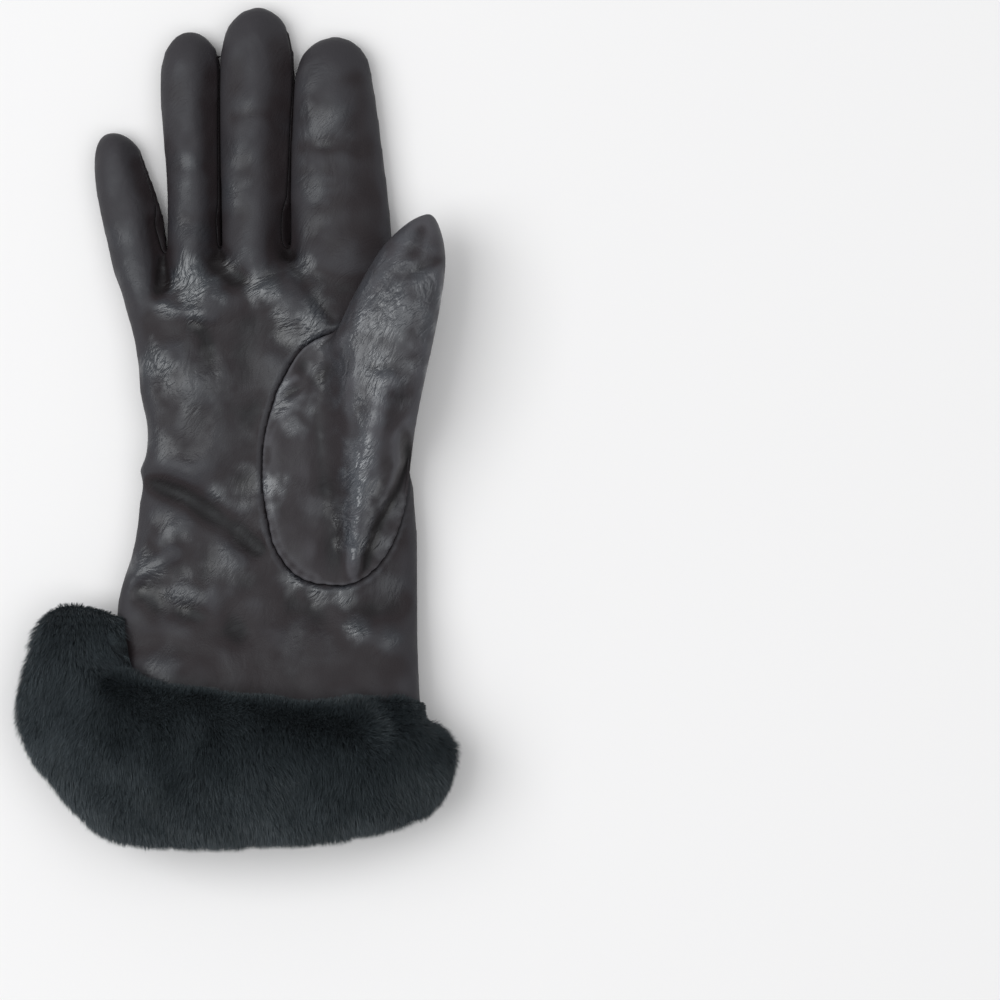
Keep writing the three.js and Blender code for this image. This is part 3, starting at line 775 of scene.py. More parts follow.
def weld_short_edges(bm: bmesh.types.BMesh, shortest: float) -> None:
    """Welds the vertices at the ends of the short edges that touch a mesh's border.

    Args:
        bm: The mesh, changed in place.
        shortest: The length up to which an edge is welded, in metres.
    """
    targets, used = {}, set()
    for edge in bm.edges:
        first, second = edge.verts
        if edge.calc_length() > shortest or first in used or second in used:
            continue
        ends = first.is_boundary + second.is_boundary
        if ends == 0 or (ends == 2 and not edge.is_boundary):
            continue
        kept, dropped = (first, second) if first.is_boundary else (second, first)
        targets[dropped] = kept
        used.update((first, second))
    bmesh.ops.weld_verts(bm, targetmap=targets)


def clean_border(
    piece: bpy.types.Object,
    shortest: float = 0.4,
    thinnest: float = 0.02,
    passes: int = 3,
    rounds: int = 4,
) -> None:
    """Clears the tiny faces beside a piece's cut edges and evens the edges out along their length.

    Args:
        piece: The piece, an open surface.
        shortest: The length up to which an edge is welded shut, in mm.
        thinnest: The thickness up to which a face is dissolved, in mm.
        passes: How often short edges are welded.
        rounds: How often the cut edges are evened out.
    """
    bm = read_mesh(piece)
    for _ in range(passes):
        weld_short_edges(bm, shortest * MM)
    bmesh.ops.dissolve_degenerate(bm, dist=thinnest * MM, edges=bm.edges[:])
    beside = {}
    for edge in bm.edges:
        if edge.is_boundary:
            for vert in edge.verts:
                beside.setdefault(vert, []).append(edge.other_vert(vert))
    beside = {vert: sides for vert, sides in beside.items() if len(sides) == 2}
    around = {other for vert in beside for edge in vert.link_edges for other in edge.verts}
    ring = [vert for vert in around if not vert.is_boundary]
    for _ in range(rounds):
        places = {vert: (vert.co * 2 + sides[0].co + sides[1].co) / 4 for vert, sides in beside.items()}
        for vert, place in places.items():
            vert.co = place
        relax(bm, ring, factor=0.4)
    write_mesh(piece, bm)


def refine_border(piece: bpy.types.Object, reach: float = 2.4) -> None:
    """Splits the faces beside the cut edges of a piece, for the small forms of a seam.

    Args:
        piece: The piece, an open surface.
        reach: How far from a cut edge faces are split, in mm.
    """
    distance, _ = border_distance(piece)
    bm = read_mesh(piece)
    near = [edge for edge in bm.edges if all(distance[vert.index] < reach for vert in edge.verts)]
    bmesh.ops.subdivide_edges(bm, edges=near, cuts=1, use_grid_fill=True)
    write_mesh(piece, bm)


def mark_relief(piece: bpy.types.Object, rounds: int = 45) -> None:
    """Stores how far each vertex stands above the smoothed surface, in mm, as the attribute relief.

    Args:
        piece: The piece.
        rounds: How often the surface is smoothed.
    """
    # The relief places the finishes' painted shade in the hollows and painted highlights on the rises.
    mesh = piece.data
    ends = np.empty(len(mesh.edges) * 2, np.int32)
    mesh.edges.foreach_get("vertices", ends)
    first, second = ends.reshape(-1, 2).T
    points = read_points(mesh)
    count = np.bincount(ends, minlength=len(points))[:, None]
    level = points.copy()
    for _ in range(rounds):
        total = np.zeros_like(level)
        for axis in range(3):
            total[:, axis] = np.bincount(first, level[second, axis], len(points))
            total[:, axis] += np.bincount(second, level[first, axis], len(points))
        level = 0.5 * level + 0.5 * total / np.maximum(count, 1)
    write_attribute(mesh, "relief", ((points - level) * read_normals(mesh)).sum(axis=1))


# The leather


@dataclass
class LeatherForm:
    """The closed skin of the hand or of the thumb, from which the leather pieces are cut."""

    name: str
    voxel: float
    folds: tuple[Fold, ...]
    patches: tuple[Patch, ...]
    rounds: int = 4

    def finish(self, piece: bpy.types.Object) -> None:
        """Gives a fused form its folds, its soft dents and its wrinkles.

        Args:
            piece: The form.
        """
        smooth(piece, self.rounds)
        points, normals = read_points(piece.data), read_normals(piece.data)
        points[:, 2] += fold_heights(points, self.folds) * np.sqrt(np.clip(normals[:, 2], 0.0, 1.0))
        for size, depth, seed in DENTS:
            points[:, 2] += normals[:, 2] * depth * noise_at(points, size, seed)
        write_points(piece.data, points)
        smooth(piece, 1)
        points = read_points(piece.data)
        facing = np.clip(read_normals(piece.data)[:, 2], 0.0, 1.0)
        points[:, 2] += crease_heights(points, shine_at(points, self.patches)) * facing
        keep_off_floor(points)
        write_points(piece.data, points)


class HandForm(LeatherForm):
    """The hand of the glove with its four fingers."""

    def place_hand(self, along: np.ndarray, angle: np.ndarray) -> np.ndarray:
        """Places points on the hand's tube.

        Args:
            along: Shares of its length, from the fingers to the fur.
            angle: Angles round it.

        Returns:
            The points, in mm.
        """
        sections = between_rows(np.array(HAND, float), along * (len(HAND) - 1))
        points = ring_points(sections, angle)
        points[:, 1] -= sections[:, 5] * ease(points[:, 0], *DROP)
        return points

    def place_finger(self, finger: Finger, along: np.ndarray, angle: np.ndarray) -> np.ndarray:
        """Places points on a finger's tube, spread a little away from its neighbours.

        Args:
            finger: The finger.
            along: Shares of its length, from its tip.
            angle: Angles round it.

        Returns:
            The points, in mm.
        """
        rows = np.array(FINGERS[finger], float)
        root = rows[-1] + (-ROOT_LENGTH, ROOT_INSET, -ROOT_INSET, ROOT_INSET, -ROOT_INSET, 0.0)
        rows = np.vstack([rows, root])
        sections = between_rows(rows, along * (len(rows) - 1))
        tip, start = rows[0], rows[TIP_ROW]
        share = np.clip((sections[:, 0] - start[0]) / (tip[0] - start[0]), 0.0, 1.0)[:, None]
        for low, high in ((1, 2), (3, 4)):
            shift = tip[low] + tip[high] - start[low] - start[high]
            middle = (start[low] + start[high]) / 2 + share**2 * shift / 2
            half = (start[high] - start[low]) / 2 * np.sqrt(1.0 - share**2)
            capped = np.hstack([middle - half, middle + half])
            sections[:, [low, high]] = np.where(share > 0, capped, sections[:, [low, high]])
        points = ring_points(sections, angle, FINGER_ROUNDNESS)
        spread = ease(points[:, 1], *SPREAD_Y)
        left, right = sections[:, 1], sections[:, 2]
        aside = (points[:, 0] - (left + right) / 2) / np.maximum((right - left) / 2, 1.0)
        fullness = (sections[:, 4] - sections[:, 3]) * points[:, 2] / FINGER_HEIGHT**2
        points[:, 2] -= FINGER_SLOPE[finger] * (ease(aside, *SLOPE_WIDTH) * spread) * fullness
        points[:, 0] += SPREAD[finger] * spread
        return points

    def close_fingers(self, piece: bpy.types.Object) -> None:
        """Moves the spread fingers back beside each other, and the webs between them with them.

        Args:
            piece: The fused hand.
        """
        points = read_points(piece.data)
        x, y = points[:, 0], points[:, 1]
        spread = ease(y, *SPREAD_Y)
        fingers = list(Finger)
        shift = np.full(len(points), SPREAD[fingers[0]])
        web = np.zeros(len(points), bool)
        for left, right in zip(fingers[:-1], fingers[1:]):
            web_start = finger_sides(left, y)[1] + SPREAD[left] * spread
            web_end = finger_sides(right, y)[0] + SPREAD[right] * spread
            across = np.clip((x - web_start) / np.maximum(web_end - web_start, LEAST_WEB), 0.0, 1.0)
            shift += (SPREAD[right] - SPREAD[left]) * across
            web |= (across > 0) & (across < 1) & (spread > 0)
        points[:, 0] -= shift * spread
        write_points(piece.data, points)
        smooth(piece, WEB_ROUNDS, web)

    def build(self) -> bpy.types.Object:
        """Fuses the tubes of the hand and the fingers into one wrinkled skin.

        Returns:
            The hand's form.
        """
        whole = tube(self.place_hand, *HAND_STEPS)
        for finger in Finger:
            join_into(whole, tube(partial(self.place_finger, finger), *FINGER_STEPS))
        piece = new_piece(self.name, whole)
        remesh(piece, self.voxel)
        self.close_fingers(piece)
        _, y, z = read_points(piece.data).T
        smooth(piece, KNUCKLE_ROUNDS, (y > KNUCKLE_Y[0]) & (y < KNUCKLE_Y[1]) & (z > KNUCKLE_Z))
        self.finish(piece)
        return piece


class ThumbForm(LeatherForm):
    """The thumb, from its oval seam to its tip."""

    def place(self, along: np.ndarray, angle: np.ndarray) -> np.ndarray:
        """Places points on the thumb's tube.

        Args:
            along: Shares of its length, from its root.
            angle: Angles round it.

        Returns:
            The points, in mm.
        """
        at = along * (len(THUMB) - 1)
        rows = between_rows(np.array(THUMB, float), at)
        under, top, half_width = rows[:, :3], rows[:, 3:6], rows[:, 6]
        up, right = np.sin(angle), np.cos(angle)
        root = np.array(ROOT_ROUNDNESS)[(up > 0).astype(int), (right < 0).astype(int)]
        exponent = ROUNDNESS + (root - ROUNDNESS) * (1.0 - ease(at, *ROOT_ROWS))
        points = (under + top) / 2 + (top - under) / 2 * pressed(up, exponent)[:, None]
        points[:, 0] += half_width * pressed(right, exponent)
        return points

    def build(self) -> bpy.types.Object:
        """Makes the thumb's skin, with its root sunk in the palm.

        Returns:
            The thumb's form.
        """
        piece = new_piece(self.name, tube(self.place, *THUMB_STEPS))
        remesh(piece, self.voxel)
        self.finish(piece)
        return piece


def line_x(line: tuple[tuple[float, float], ...], y: np.ndarray) -> np.ndarray:
    """The x at each y of a line that is given from its highest y to its lowest."""
    xs, ys = np.array(line[::-1]).T
    return np.interp(y, ys, xs)


def finger_sides(finger: Finger, y: np.ndarray) -> tuple[np.ndarray, np.ndarray]:
    """The x of a finger's left and right side at each y."""
    rows = np.array(FINGERS[finger], float)[::-1]
    return np.interp(y, rows[:, 0], rows[:, 1]), np.interp(y, rows[:, 0], rows[:, 2])


def finger_middle(finger: Finger, y: np.ndarray) -> np.ndarray:
    """The x of a finger's middle line at each y."""
    left, right = finger_sides(finger, y)
    return (left + right) / 2


@dataclass(frozen=True)
class ForkedStrip:
    """A fourchette: the strip between two fingers, forked at their crotch."""

    name: str
    left: Finger
    right: Finger
    crotch: float
    middle: float = 5.2
    half_at_crotch: float = 2.8
    half_at_tip: float = 1.0
    end: float = 7.0  # distance from a fingertip to the end of its arm
    foot: float = 3.0

    def field(self, points: np.ndarray) -> np.ndarray:
        """Measures how far points lie inside the strip's outline.

        Args:
            points: The points, in mm.

        Returns:
            The distances in mm, negative outside the outline.
        """
        y = points[:, 1]
        left, right = finger_middle(self.left, y), finger_middle(self.right, y)
        between = points[:, 0] > (left + right) / 2
        tips = [FINGERS[finger][0].y - self.end for finger in (self.left, self.right)]
        tip = np.where(between, tips[1], tips[0])
        share = np.clip((y - self.crotch) / (tip - self.crotch), 0.0, 1.0)
        half = self.half_at_crotch + (self.half_at_tip - self.half_at_crotch) * share
        across = half - np.abs(points[:, 2] - self.middle)
        inner = np.minimum(points[:, 0] - left, right - points[:, 0])
        along = np.minimum(y - self.crotch + self.foot, tip - y)
        return np.minimum(np.minimum(across, inner), along)


STRIPS = (
    ForkedStrip("fourchette_ring_little", Finger.LITTLE, Finger.RING, 49.0),
    ForkedStrip("fourchette_middle_ring", Finger.RING, Finger.MIDDLE, 59.0),
    ForkedStrip("fourchette_index_middle", Finger.MIDDLE, Finger.INDEX, 59.0),
)


@dataclass(frozen=True)
class Seam:
    """A seam turned to the inside: both edges dip into a groove between two soft lips."""

    first_y: float
    last_y: float
    dip: float = 0.9
    dip_reach: float = 0.5
    lip: float = 0.4
    lip_at: float = 1.4
    lip_reach: float = 0.8

    def directions(self, points: np.ndarray, normals: np.ndarray) -> np.ndarray:
        """The outward direction along which each point is moved."""
        return normals

    def draw(self, edge: np.ndarray, distance: np.ndarray) -> np.ndarray:
        """How far the stitches draw in the leather beside points of the edge, in mm."""
        return np.zeros(len(edge))

    def press(self, piece: bpy.types.Object) -> None:
        """Shapes a leather piece beside the cut edges that lie between the seam's first and last y.

        Args:
            piece: The piece, an open surface.
        """
        distance, nearest = border_distance(piece, self.first_y, self.last_y)
        points, normals = read_points(piece.data), read_normals(piece.data)
        groove = np.exp(-((distance / self.dip_reach) ** 2))
        lips = np.exp(-(((distance - self.lip_at) / self.lip_reach) ** 2))
        move = self.lip * lips - self.dip * groove - self.draw(points[nearest], distance)
        points += self.directions(points, normals) * move[:, None]
        keep_off_floor(points)
        write_points(piece.data, points)


@dataclass(frozen=True)
class ThumbSeam(Seam):
    """The oval seam that sets the thumb in, with small puckers drawn in by its stitches."""

    steepness: float = 1.2  # how much both edges are pressed down for each mm outwards
    pucker: float = 0.3
    pitch: float = 3.1  # distance between the puckers along the seam
    pucker_reach: float = 3.0
    least_pucker: float = 0.35  # share of the puckers that is left at the seam's finger end
    pucker_y: tuple[float, float] = (-5.0, -35.0)  # y over which they deepen towards the wrist

    def directions(self, points: np.ndarray, normals: np.ndarray) -> np.ndarray:
        """Turns up and away from the middle of the oval, so that both edges stay together.

        Args:
            points: The points, in mm.
            normals: The normals there, which this seam doesn't follow.

        Returns:
            The outward direction along which each point is moved.
        """
        away = points - (*THUMB_SEAM_MIDDLE, 0.0)
        away[:, 2] = 0.0
        away /= np.maximum(np.linalg.norm(away, axis=1), 1.0)[:, None]
        return unit(away + (0.0, 0.0, self.steepness))

    def draw(self, edge: np.ndarray, distance: np.ndarray) -> np.ndarray:
        """Draws in puckers that fade away from the seam, the deepest at its wrist end.

        Args:
            edge: The nearest point of the seam for each point, in mm.
            distance: How far away it is, in mm.

        Returns:
            How far each point is drawn in, in mm.
        """
        turn = np.arctan2(edge[:, 1] - THUMB_SEAM_MIDDLE[1], edge[:, 0] - THUMB_SEAM_MIDDLE[0])
        wave = 0.5 + 0.5 * np.sin(turn * THUMB_SEAM_RADIUS / self.pitch * 2 * math.pi)
        fade = np.exp(-((distance / self.pucker_reach) ** 2))
        deepening = self.least_pucker + (1.0 - self.least_pucker) * ease(edge[:, 1], *self.pucker_y)
        return self.pucker * wave * fade * deepening


@dataclass
class LeatherGlove:
    """All the leather: the trank, the thumb and the three forked strips."""

    hand: HandForm
    thumb: ThumbForm
    thumb_seam: ThumbSeam
    finger_seam: Seam
    wall: float = 1.2

    def finish_piece(
        self, piece: bpy.types.Object, seams: tuple[Seam, ...], patches: tuple[Patch, ...] = ()
    ) -> bpy.types.Object:
        """Turns a cut piece's edges in, marks its relief and its shine and gives it its wall.

        Args:
            piece: The piece, an open surface.
            seams: The seams at its edges.
            patches: Its shiny patches.

        Returns:
            The piece.
        """
        clean_border(piece)
        refine_border(piece)
        for seam in seams:
            seam.press(piece)
        mark_relief(piece)
        write_attribute(piece.data, "shine", shine_at(read_points(piece.data), patches))
        wall = piece.modifiers.new("wall", "SOLIDIFY")
        wall.thickness = self.wall * MM
        wall.offset = -1.0
        apply_modifiers(piece)
        piece.data.shade_smooth()
        return piece

    def press_gusset(self, thumb: bpy.types.Object, hand_tree: BVHTree) -> None:
        """Presses the thumb's root down to the palm beyond its cleft and beyond its inner valley.

        Args:
            thumb: The thumb's form.
            hand_tree: The search tree over the hand's form.
        """
        points = read_points(thumb.data)
        above = depth_in(points, hand_tree)
        x, y = points[:, 0], points[:, 1]
        past_cleft = x - line_x(CLEFT, y)
        past_valley = line_x(VALLEY, y) - x
        gusset = ease(past_cleft, *CLEFT_WIDTH) * (1.0 - ease(y, *CLEFT_FADE))
        pillow = ease(past_valley, *VALLEY_WIDTH) * (1.0 - ease(y, *VALLEY_FADE))
        rise = VALLEY_RISE + (PILLOW_RISE - VALLEY_RISE) * ease(past_valley, *PILLOW_WIDTH)
        points[:, 2] -= gusset * np.maximum(above - GUSSET_RISE, 0.0)
        points[:, 2] -= pillow * np.maximum(above - rise, 0.0)
        write_points(thumb.data, points)
        smooth(thumb, GUSSET_ROUNDS)

    def build(self) -> dict[str, bpy.types.Object]:
        """Makes the five leather pieces.

        Returns:
            The piece for each node that it stands for.
        """
        hand, thumb = self.hand.build(), self.thumb.build()
        hand_points, hand_tree = read_points(hand.data), surface_tree(hand)
        self.press_gusset(thumb, hand_tree)
        in_thumb = -depth_in(hand_points, surface_tree(thumb))
        above_hand = depth_in(read_points(thumb.data), hand_tree)
        strips = [strip.field(hand_points) for strip in STRIPS]
        taken = np.maximum.reduce([*strips, in_thumb, LEATHER_END - hand_points[:, 1]])
        trank = keep_side(hand, "trank_leather", taken + SEAM_GAP, False)
        horn = keep_side(thumb, "thumb_leather", above_hand - SEAM_GAP, True)
        made = {
            "trank": self.finish_piece(trank, (self.thumb_seam, self.finger_seam), self.hand.patches),
            "thumb": self.finish_piece(horn, (self.thumb_seam,), self.thumb.patches),
        }
        for strip, field in zip(STRIPS, strips):
            piece = keep_side(hand, strip.name + "_leather", field - SEAM_GAP, True)
            made[strip.name] = self.finish_piece(piece, (self.finger_seam,))
        for form in (hand, thumb):
            bpy.data.objects.remove(form)
        return made

    def dress(self, made: dict[str, bpy.types.Object]) -> None:
        """Gives each leather piece its finish, all from one grain and one group of painted shade and
        highlights.

        Args:
            made: The piece for each node that it stands for.
        """
        groups = LeatherGrain().make(), PaintedLeatherLight().make()
        # The thumb gets a lighter copy of the leather as painted light.
        finishes = {"trank": PALM_FINISH.make(*groups), "thumb": LIT_THUMB_FINISH.make(*groups)}
        # The strips get a darker copy of the leather as painted shade.
        shaded_strip_finish = SHADED_STRIP_FINISH.make(*groups)
        for node, piece in made.items():
            dress_piece(piece, finishes.get(node, shaded_strip_finish), Slot.LEATHER, node)


# The fur

HAIR_FACES = (0, 1, 3, 0, 3, 2, 2, 3, 4)  # the corners of a hair's three triangles
# Where a hair's five points lie in its own cell of its UV map
HAIR_CELL = ((0.2, 0.1), (0.8, 0.1), (0.25, 0.5), (0.75, 0.5), (0.5, 0.9))


class Zone(NamedTuple):
    """A zone of the fur: how strong its effect is, and where it starts and is full, in mm."""

    strength: float
    x: tuple[float, float] | None = None
    y: tuple[float, float] | None = None

    def at(self, points: np.ndarray) -> np.ndarray:
        """Measures the zone's effect.

        Args:
            points: The points, in mm.

        Returns:
            The effect at each point, from 0 to the zone's strength.
        """
        effect = np.full(len(points), self.strength)
        for axis, span in enumerate((self.x, self.y)):
            if span:
                effect = effect * ease(points[:, axis], *span)
        return effect


@dataclass
class FurCuff:
    """The fur cuff: a pelt ring with its undercoat, and the hair that stands on it, in mm."""

    hair_length: float
    hair_width: float
    hairs: int
    parts: int  # how many meshes the hair is joined into
    seed: int = 11
    # The form
    outside_share: float = 0.72  # share of the way round the fur that is outside the bore
    end_inset: tuple[float, float] = (0.6, 0.8)  # how far the front and the back end follow an inset
    lobe: float = 0.012  # how far deep fur falls forward over the leather, for its reach squared
    lobe_fade: int = 4
    pelt: float = 2.2  # thickness of the pelt
    pelt_rounding: float = 0.4
    lip_sink: float = 4.6  # how far the pelt's front edge is drawn in to the leather
    lip_inside: tuple[float, float] = (0.6, 1.0)  # where it starts in the bore and is full
    lip_outside: tuple[float, float] = (0.08, 0.0)  # and on the outside
    least_reach: float = 0.5
    roundness: tuple[float, float] = (1.5, 1.2)  # of the fur sideways and upwards
    lumps: Layers = ((19.0, 0.9, 3.0), (8.0, 0.5, 5.0))
    clearance: float = 0.35  # of the undercoat above the floor
    # How thick the hair stands on the underside, for normals that point down this far
    underside: float = -0.5
    underside_density: float = 0.3
    # The way the hair lies
    comb: tuple[float, float, float] = (0.15, -0.2, 0.0)
    swirl: float = 0.6
    swirl_size: float = 13.0
    swirl_seeds: tuple[float, float, float] = (21.0, 34.0, 55.0)
    combed_back: tuple[Zone, ...] = (Zone(0.8, y=(-84.0, -114.0)), Zone(0.8, x=(-22.0, -46.0)))
    unruly: float = 0.16
    stand: float = 0.8
    lean: float = 0.9
    bend_at: float = 0.55  # share of a hair's length at which it bends
    tip_lean: float = 0.18
    clump: float = 2.4  # size of the clumps that the hair gathers to
    gather: float = 0.22
    gather_at_bend: float = 0.3
    # Its length and width, as ranges of shares, and where it is clipped shorter
    lengths: tuple[float, float] = (0.75, 1.1)
    widths: tuple[float, float] = (0.7, 1.3)
    width_at_bend: float = 0.8
    uneven: Layers = ((5.0, 0.12, 8.0),)
    over_leather: Zone = Zone(0.72, y=(-80.0, -68.0))
    facing_leather: tuple[float, float] = (0.1, 0.9)  # how far a normal points to the fingers there
    clipped: tuple[Zone, ...] = (
        Zone(0.6, (54.0, 60.0), (-100.0, -94.0)),
        Zone(0.45, (-42.0, -26.0), (-100.0, -91.0)),
    )
    # How light its tips are, at random, with painted light and painted shade in zones
    tone: float = 0.35
    tone_lumps: Layers = ((11.0, 0.3, 13.0),)
    tone_spread: float = 0.1
    # Painted light: paler tips over the left lobe and towards the cuff's open end; painted shade near
    # the front edge on the left.
    pale: tuple[Zone, ...] = (Zone(0.35, x=(-25.0, -60.0)), Zone(0.2, y=(-112.0, -132.0)))
    shaded: Zone = Zone(0.35, (-42.0, -22.0), (-104.0, -90.0))

    def place(self, along: np.ndarray, angle: np.ndarray, inset: float) -> np.ndarray:
        """Places points on the fur's form, inset from its outside.

        Args:
            along: Shares of the way from the front edge over the fur and back through the bore.
            angle: Angles round the cuff, from the thumb's side.
            inset: How far inside the fur's outline, in mm.

        Returns:
            The points, in mm.
        """
        rows = np.array(FUR_SECTIONS, float)
        first_turn = rows[0, 0]
        degrees = (np.degrees(angle) - first_turn) % 360.0 + first_turn
        columns = (np.interp(degrees, rows[:, 0], column) for column in rows[:, 1:].T)
        front, back, reach, front_full, back_full = columns
        over = np.clip(along / self.outside_share, 0.0, 1.0)
        full = np.where(over < 0.5, front_full, back_full)
        swell = np.sin(over * math.pi).clip(0.0, 1.0) ** full
        front, back = front - self.end_inset[0] * inset, back + self.end_inset[1] * inset
        y = (front + back) / 2 + (front - back) / 2 * np.cos(over * math.pi)
        y += self.lobe * reach**2 * swell * (1.0 - over) ** self.lobe_fade
        inside = np.clip((along - self.outside_share) / (1.0 - self.outside_share), 0.0, 1.0)
        y = np.where(inside > 0, back + (front - back) * ease(inside, 0.0, 1.0), y)
        sink = self.pelt * np.sin(np.minimum(inside, 0.5) * math.pi) ** self.pelt_rounding
        lip = np.where(inside > 0, ease(inside, *self.lip_inside), ease(over, *self.lip_outside))
        sink += lip * (self.lip_sink - sink)
        stand = np.maximum(reach - inset, self.least_reach) * swell - sink
        points = ring_points(np.tile(np.array(PELT, float), (len(angle), 1)), angle)
        points[:, 1] = y
        across, up = pressed(np.cos(angle), self.roundness[0]), pressed(np.sin(angle), self.roundness[1])
        return points + unit(np.column_stack([across, np.zeros(len(angle)), up])) * stand[:, None]

    def form(self, name: str, inset: float) -> bpy.types.Object:
        """Makes the ring of the fur's form, inset from its outside, with the lumps of its locks.

        Args:
            name: The piece's name.
            inset: How far inside the fur's outline, in mm.

        Returns:
            The piece.
        """
        piece = new_piece(name, tube(partial(self.place, inset=inset), *FUR_STEPS))
        points, normals = read_points(piece.data), read_normals(piece.data)
        points += normals * lumps_at(points, self.lumps)[:, None]
        keep_off_floor(points, self.clearance)
        write_points(piece.data, points)
        piece.data.shade_smooth()
        return piece

    def in_bore(self, points: np.ndarray, normals: np.ndarray) -> np.ndarray:
        """Tells which points are on the wall of the bore, which faces the wrist.

        Args:
            points: Points on the undercoat, in mm.
            normals: The normals there.

        Returns:
            True for each point in the bore.
        """
        middle = np.array([(PELT.left + PELT.right) / 2, 0.0, (PELT.low + PELT.high) / 2])
        away = (points - middle) * (1.0, 0.0, 1.0)
        half = np.array([(PELT.right - PELT.left) / 2, 1.0, (PELT.high - PELT.low) / 2])
        inside = ((np.abs(away[:, [0, 2]]) / half[[0, 2]]) ** ROUNDNESS).sum(axis=1) < 1.0
        return inside & ((away * normals).sum(axis=1) < 0)

    def roots(self, base: bpy.types.Object) -> tuple[np.ndarray, np.ndarray]:
        """Scatters the hair's roots over the outside of the undercoat.

        Args:
            base: The undercoat.

        Returns:
            The roots in mm and the normals there.
        """
        chance = np.random.default_rng(self.seed)
        base.data.calc_loop_triangles()
        corners = np.empty(len(base.data.loop_triangles) * 3, np.int32)
        base.data.loop_triangles.foreach_get("vertices", corners)
        corners = corners.reshape(-1, 3)
        points, normals = read_points(base.data), read_normals(base.data)
        a, b, c = (points[corners[:, i]] for i in range(3))
        facing = normals[corners].mean(axis=1)
        area = np.linalg.norm(np.cross(b - a, c - a), axis=1) / 2
        outside = np.where(self.in_bore((a + b + c) / 3, facing), 0.0, 1.0)
        weight = area * outside * np.where(facing[:, 2] < self.underside, self.underside_density, 1.0)
        chosen = chance.choice(len(corners), self.hairs, p=weight / weight.sum())
        u, v = chance.random(self.hairs), chance.random(self.hairs)
        flip = u + v > 1
        u[flip], v[flip] = 1 - u[flip], 1 - v[flip]
        shares = (1 - u - v, u, v)
        place = sum(share[:, None] * points[corners[chosen, i]] for i, share in enumerate(shares))
        normal = sum(share[:, None] * normals[corners[chosen, i]] for i, share in enumerate(shares))
        return place, unit(normal)

    def combed(self, root: np.ndarray, normal: np.ndarray, chance: np.random.Generator) -> np.ndarray:
        """Combs the hair along the skin.

        Args:
            root: The hair's roots, in mm.
            normal: The normals there.
            chance: The source of random numbers.

        Returns:
            Which way each hair leans, and how much.
        """
        swirls = np.column_stack([noise_at(root, self.swirl_size, seed) for seed in self.swirl_seeds])
        comb = np.array(self.comb) + self.swirl * swirls
        comb[:, 1] -= np.maximum.reduce([zone.at(root) for zone in self.combed_back])
        comb += chance.normal(0.0, self.unruly, root.shape)
        return comb - normal * (comb * normal).sum(axis=1)[:, None]

    def clip(self, root: np.ndarray, normal: np.ndarray, chance: np.random.Generator) -> np.ndarray:
        """Clips the hair, shorter where it meets the leather.

        Args:
            root: The hair's roots, in mm.
            normal: The normals there.
            chance: The source of random numbers.

        Returns:
            The length of each hair, in mm.
        """
        length = self.hair_length * chance.uniform(*self.lengths, len(root))
        length *= 1.0 + lumps_at(root, self.uneven)
        length *= 1.0 - self.over_leather.at(root) * ease(normal[:, 1], *self.facing_leather)
        for zone in self.clipped:
            length *= 1.0 - zone.at(root)
        return length

    def tones(self, root: np.ndarray, chance: np.random.Generator) -> np.ndarray:
        """Shades the hair's tips, at random and with painted light and painted shade in zones.

        Args:
            root: The hair's roots, in mm.
            chance: The source of random numbers.

        Returns:
            How light each hair's tip is, from 0 to 1.
        """
        tone = self.tone + lumps_at(root, self.tone_lumps)
        tone += chance.normal(0.0, self.tone_spread, len(root))
        for zone in self.pale:
            tone += zone.at(root)
        return np.clip(tone - self.shaded.at(root), 0.0, 1.0)

    def build_hair(self, base: bpy.types.Object) -> list[bpy.types.Object]:
        """Grows the hair on the undercoat, as tapered ribbons in a few joined meshes.

        Args:
            base: The undercoat.

        Returns:
            The hair pieces.
        """
        chance = np.random.default_rng(self.seed + 1)
        root, normal = self.roots(base)
        comb = self.combed(root, normal, chance)
        direction = unit(self.stand * normal + self.lean * comb)
        length = self.clip(root, normal, chance)[:, None]
        gather = self.gather * (np.round(root / self.clump) * self.clump - root)
        tip = root + direction * length + gather + comb * (self.tip_lean * length)
        bend = root + direction * (self.bend_at * length) + self.gather_at_bend * gather
        side = unit(np.cross(direction, chance.normal(size=root.shape)))
        width = self.hair_width * chance.uniform(*self.widths, len(root))
        half = side * (width / 2)[:, None]
        narrow = self.width_at_bend * half
        strands = np.stack([root - half, root + half, bend - narrow, bend + narrow, tip], axis=1)
        keep_off_floor(strands)
        tone = self.tones(root, chance)
        share = len(root) // self.parts
        made = []
        for part in range(self.parts):
            chosen = slice(part * share, (part + 1) * share)
            made.append(self.hair_piece(f"fur_hair_{part + 1}", strands[chosen], tone[chosen]))
        return made

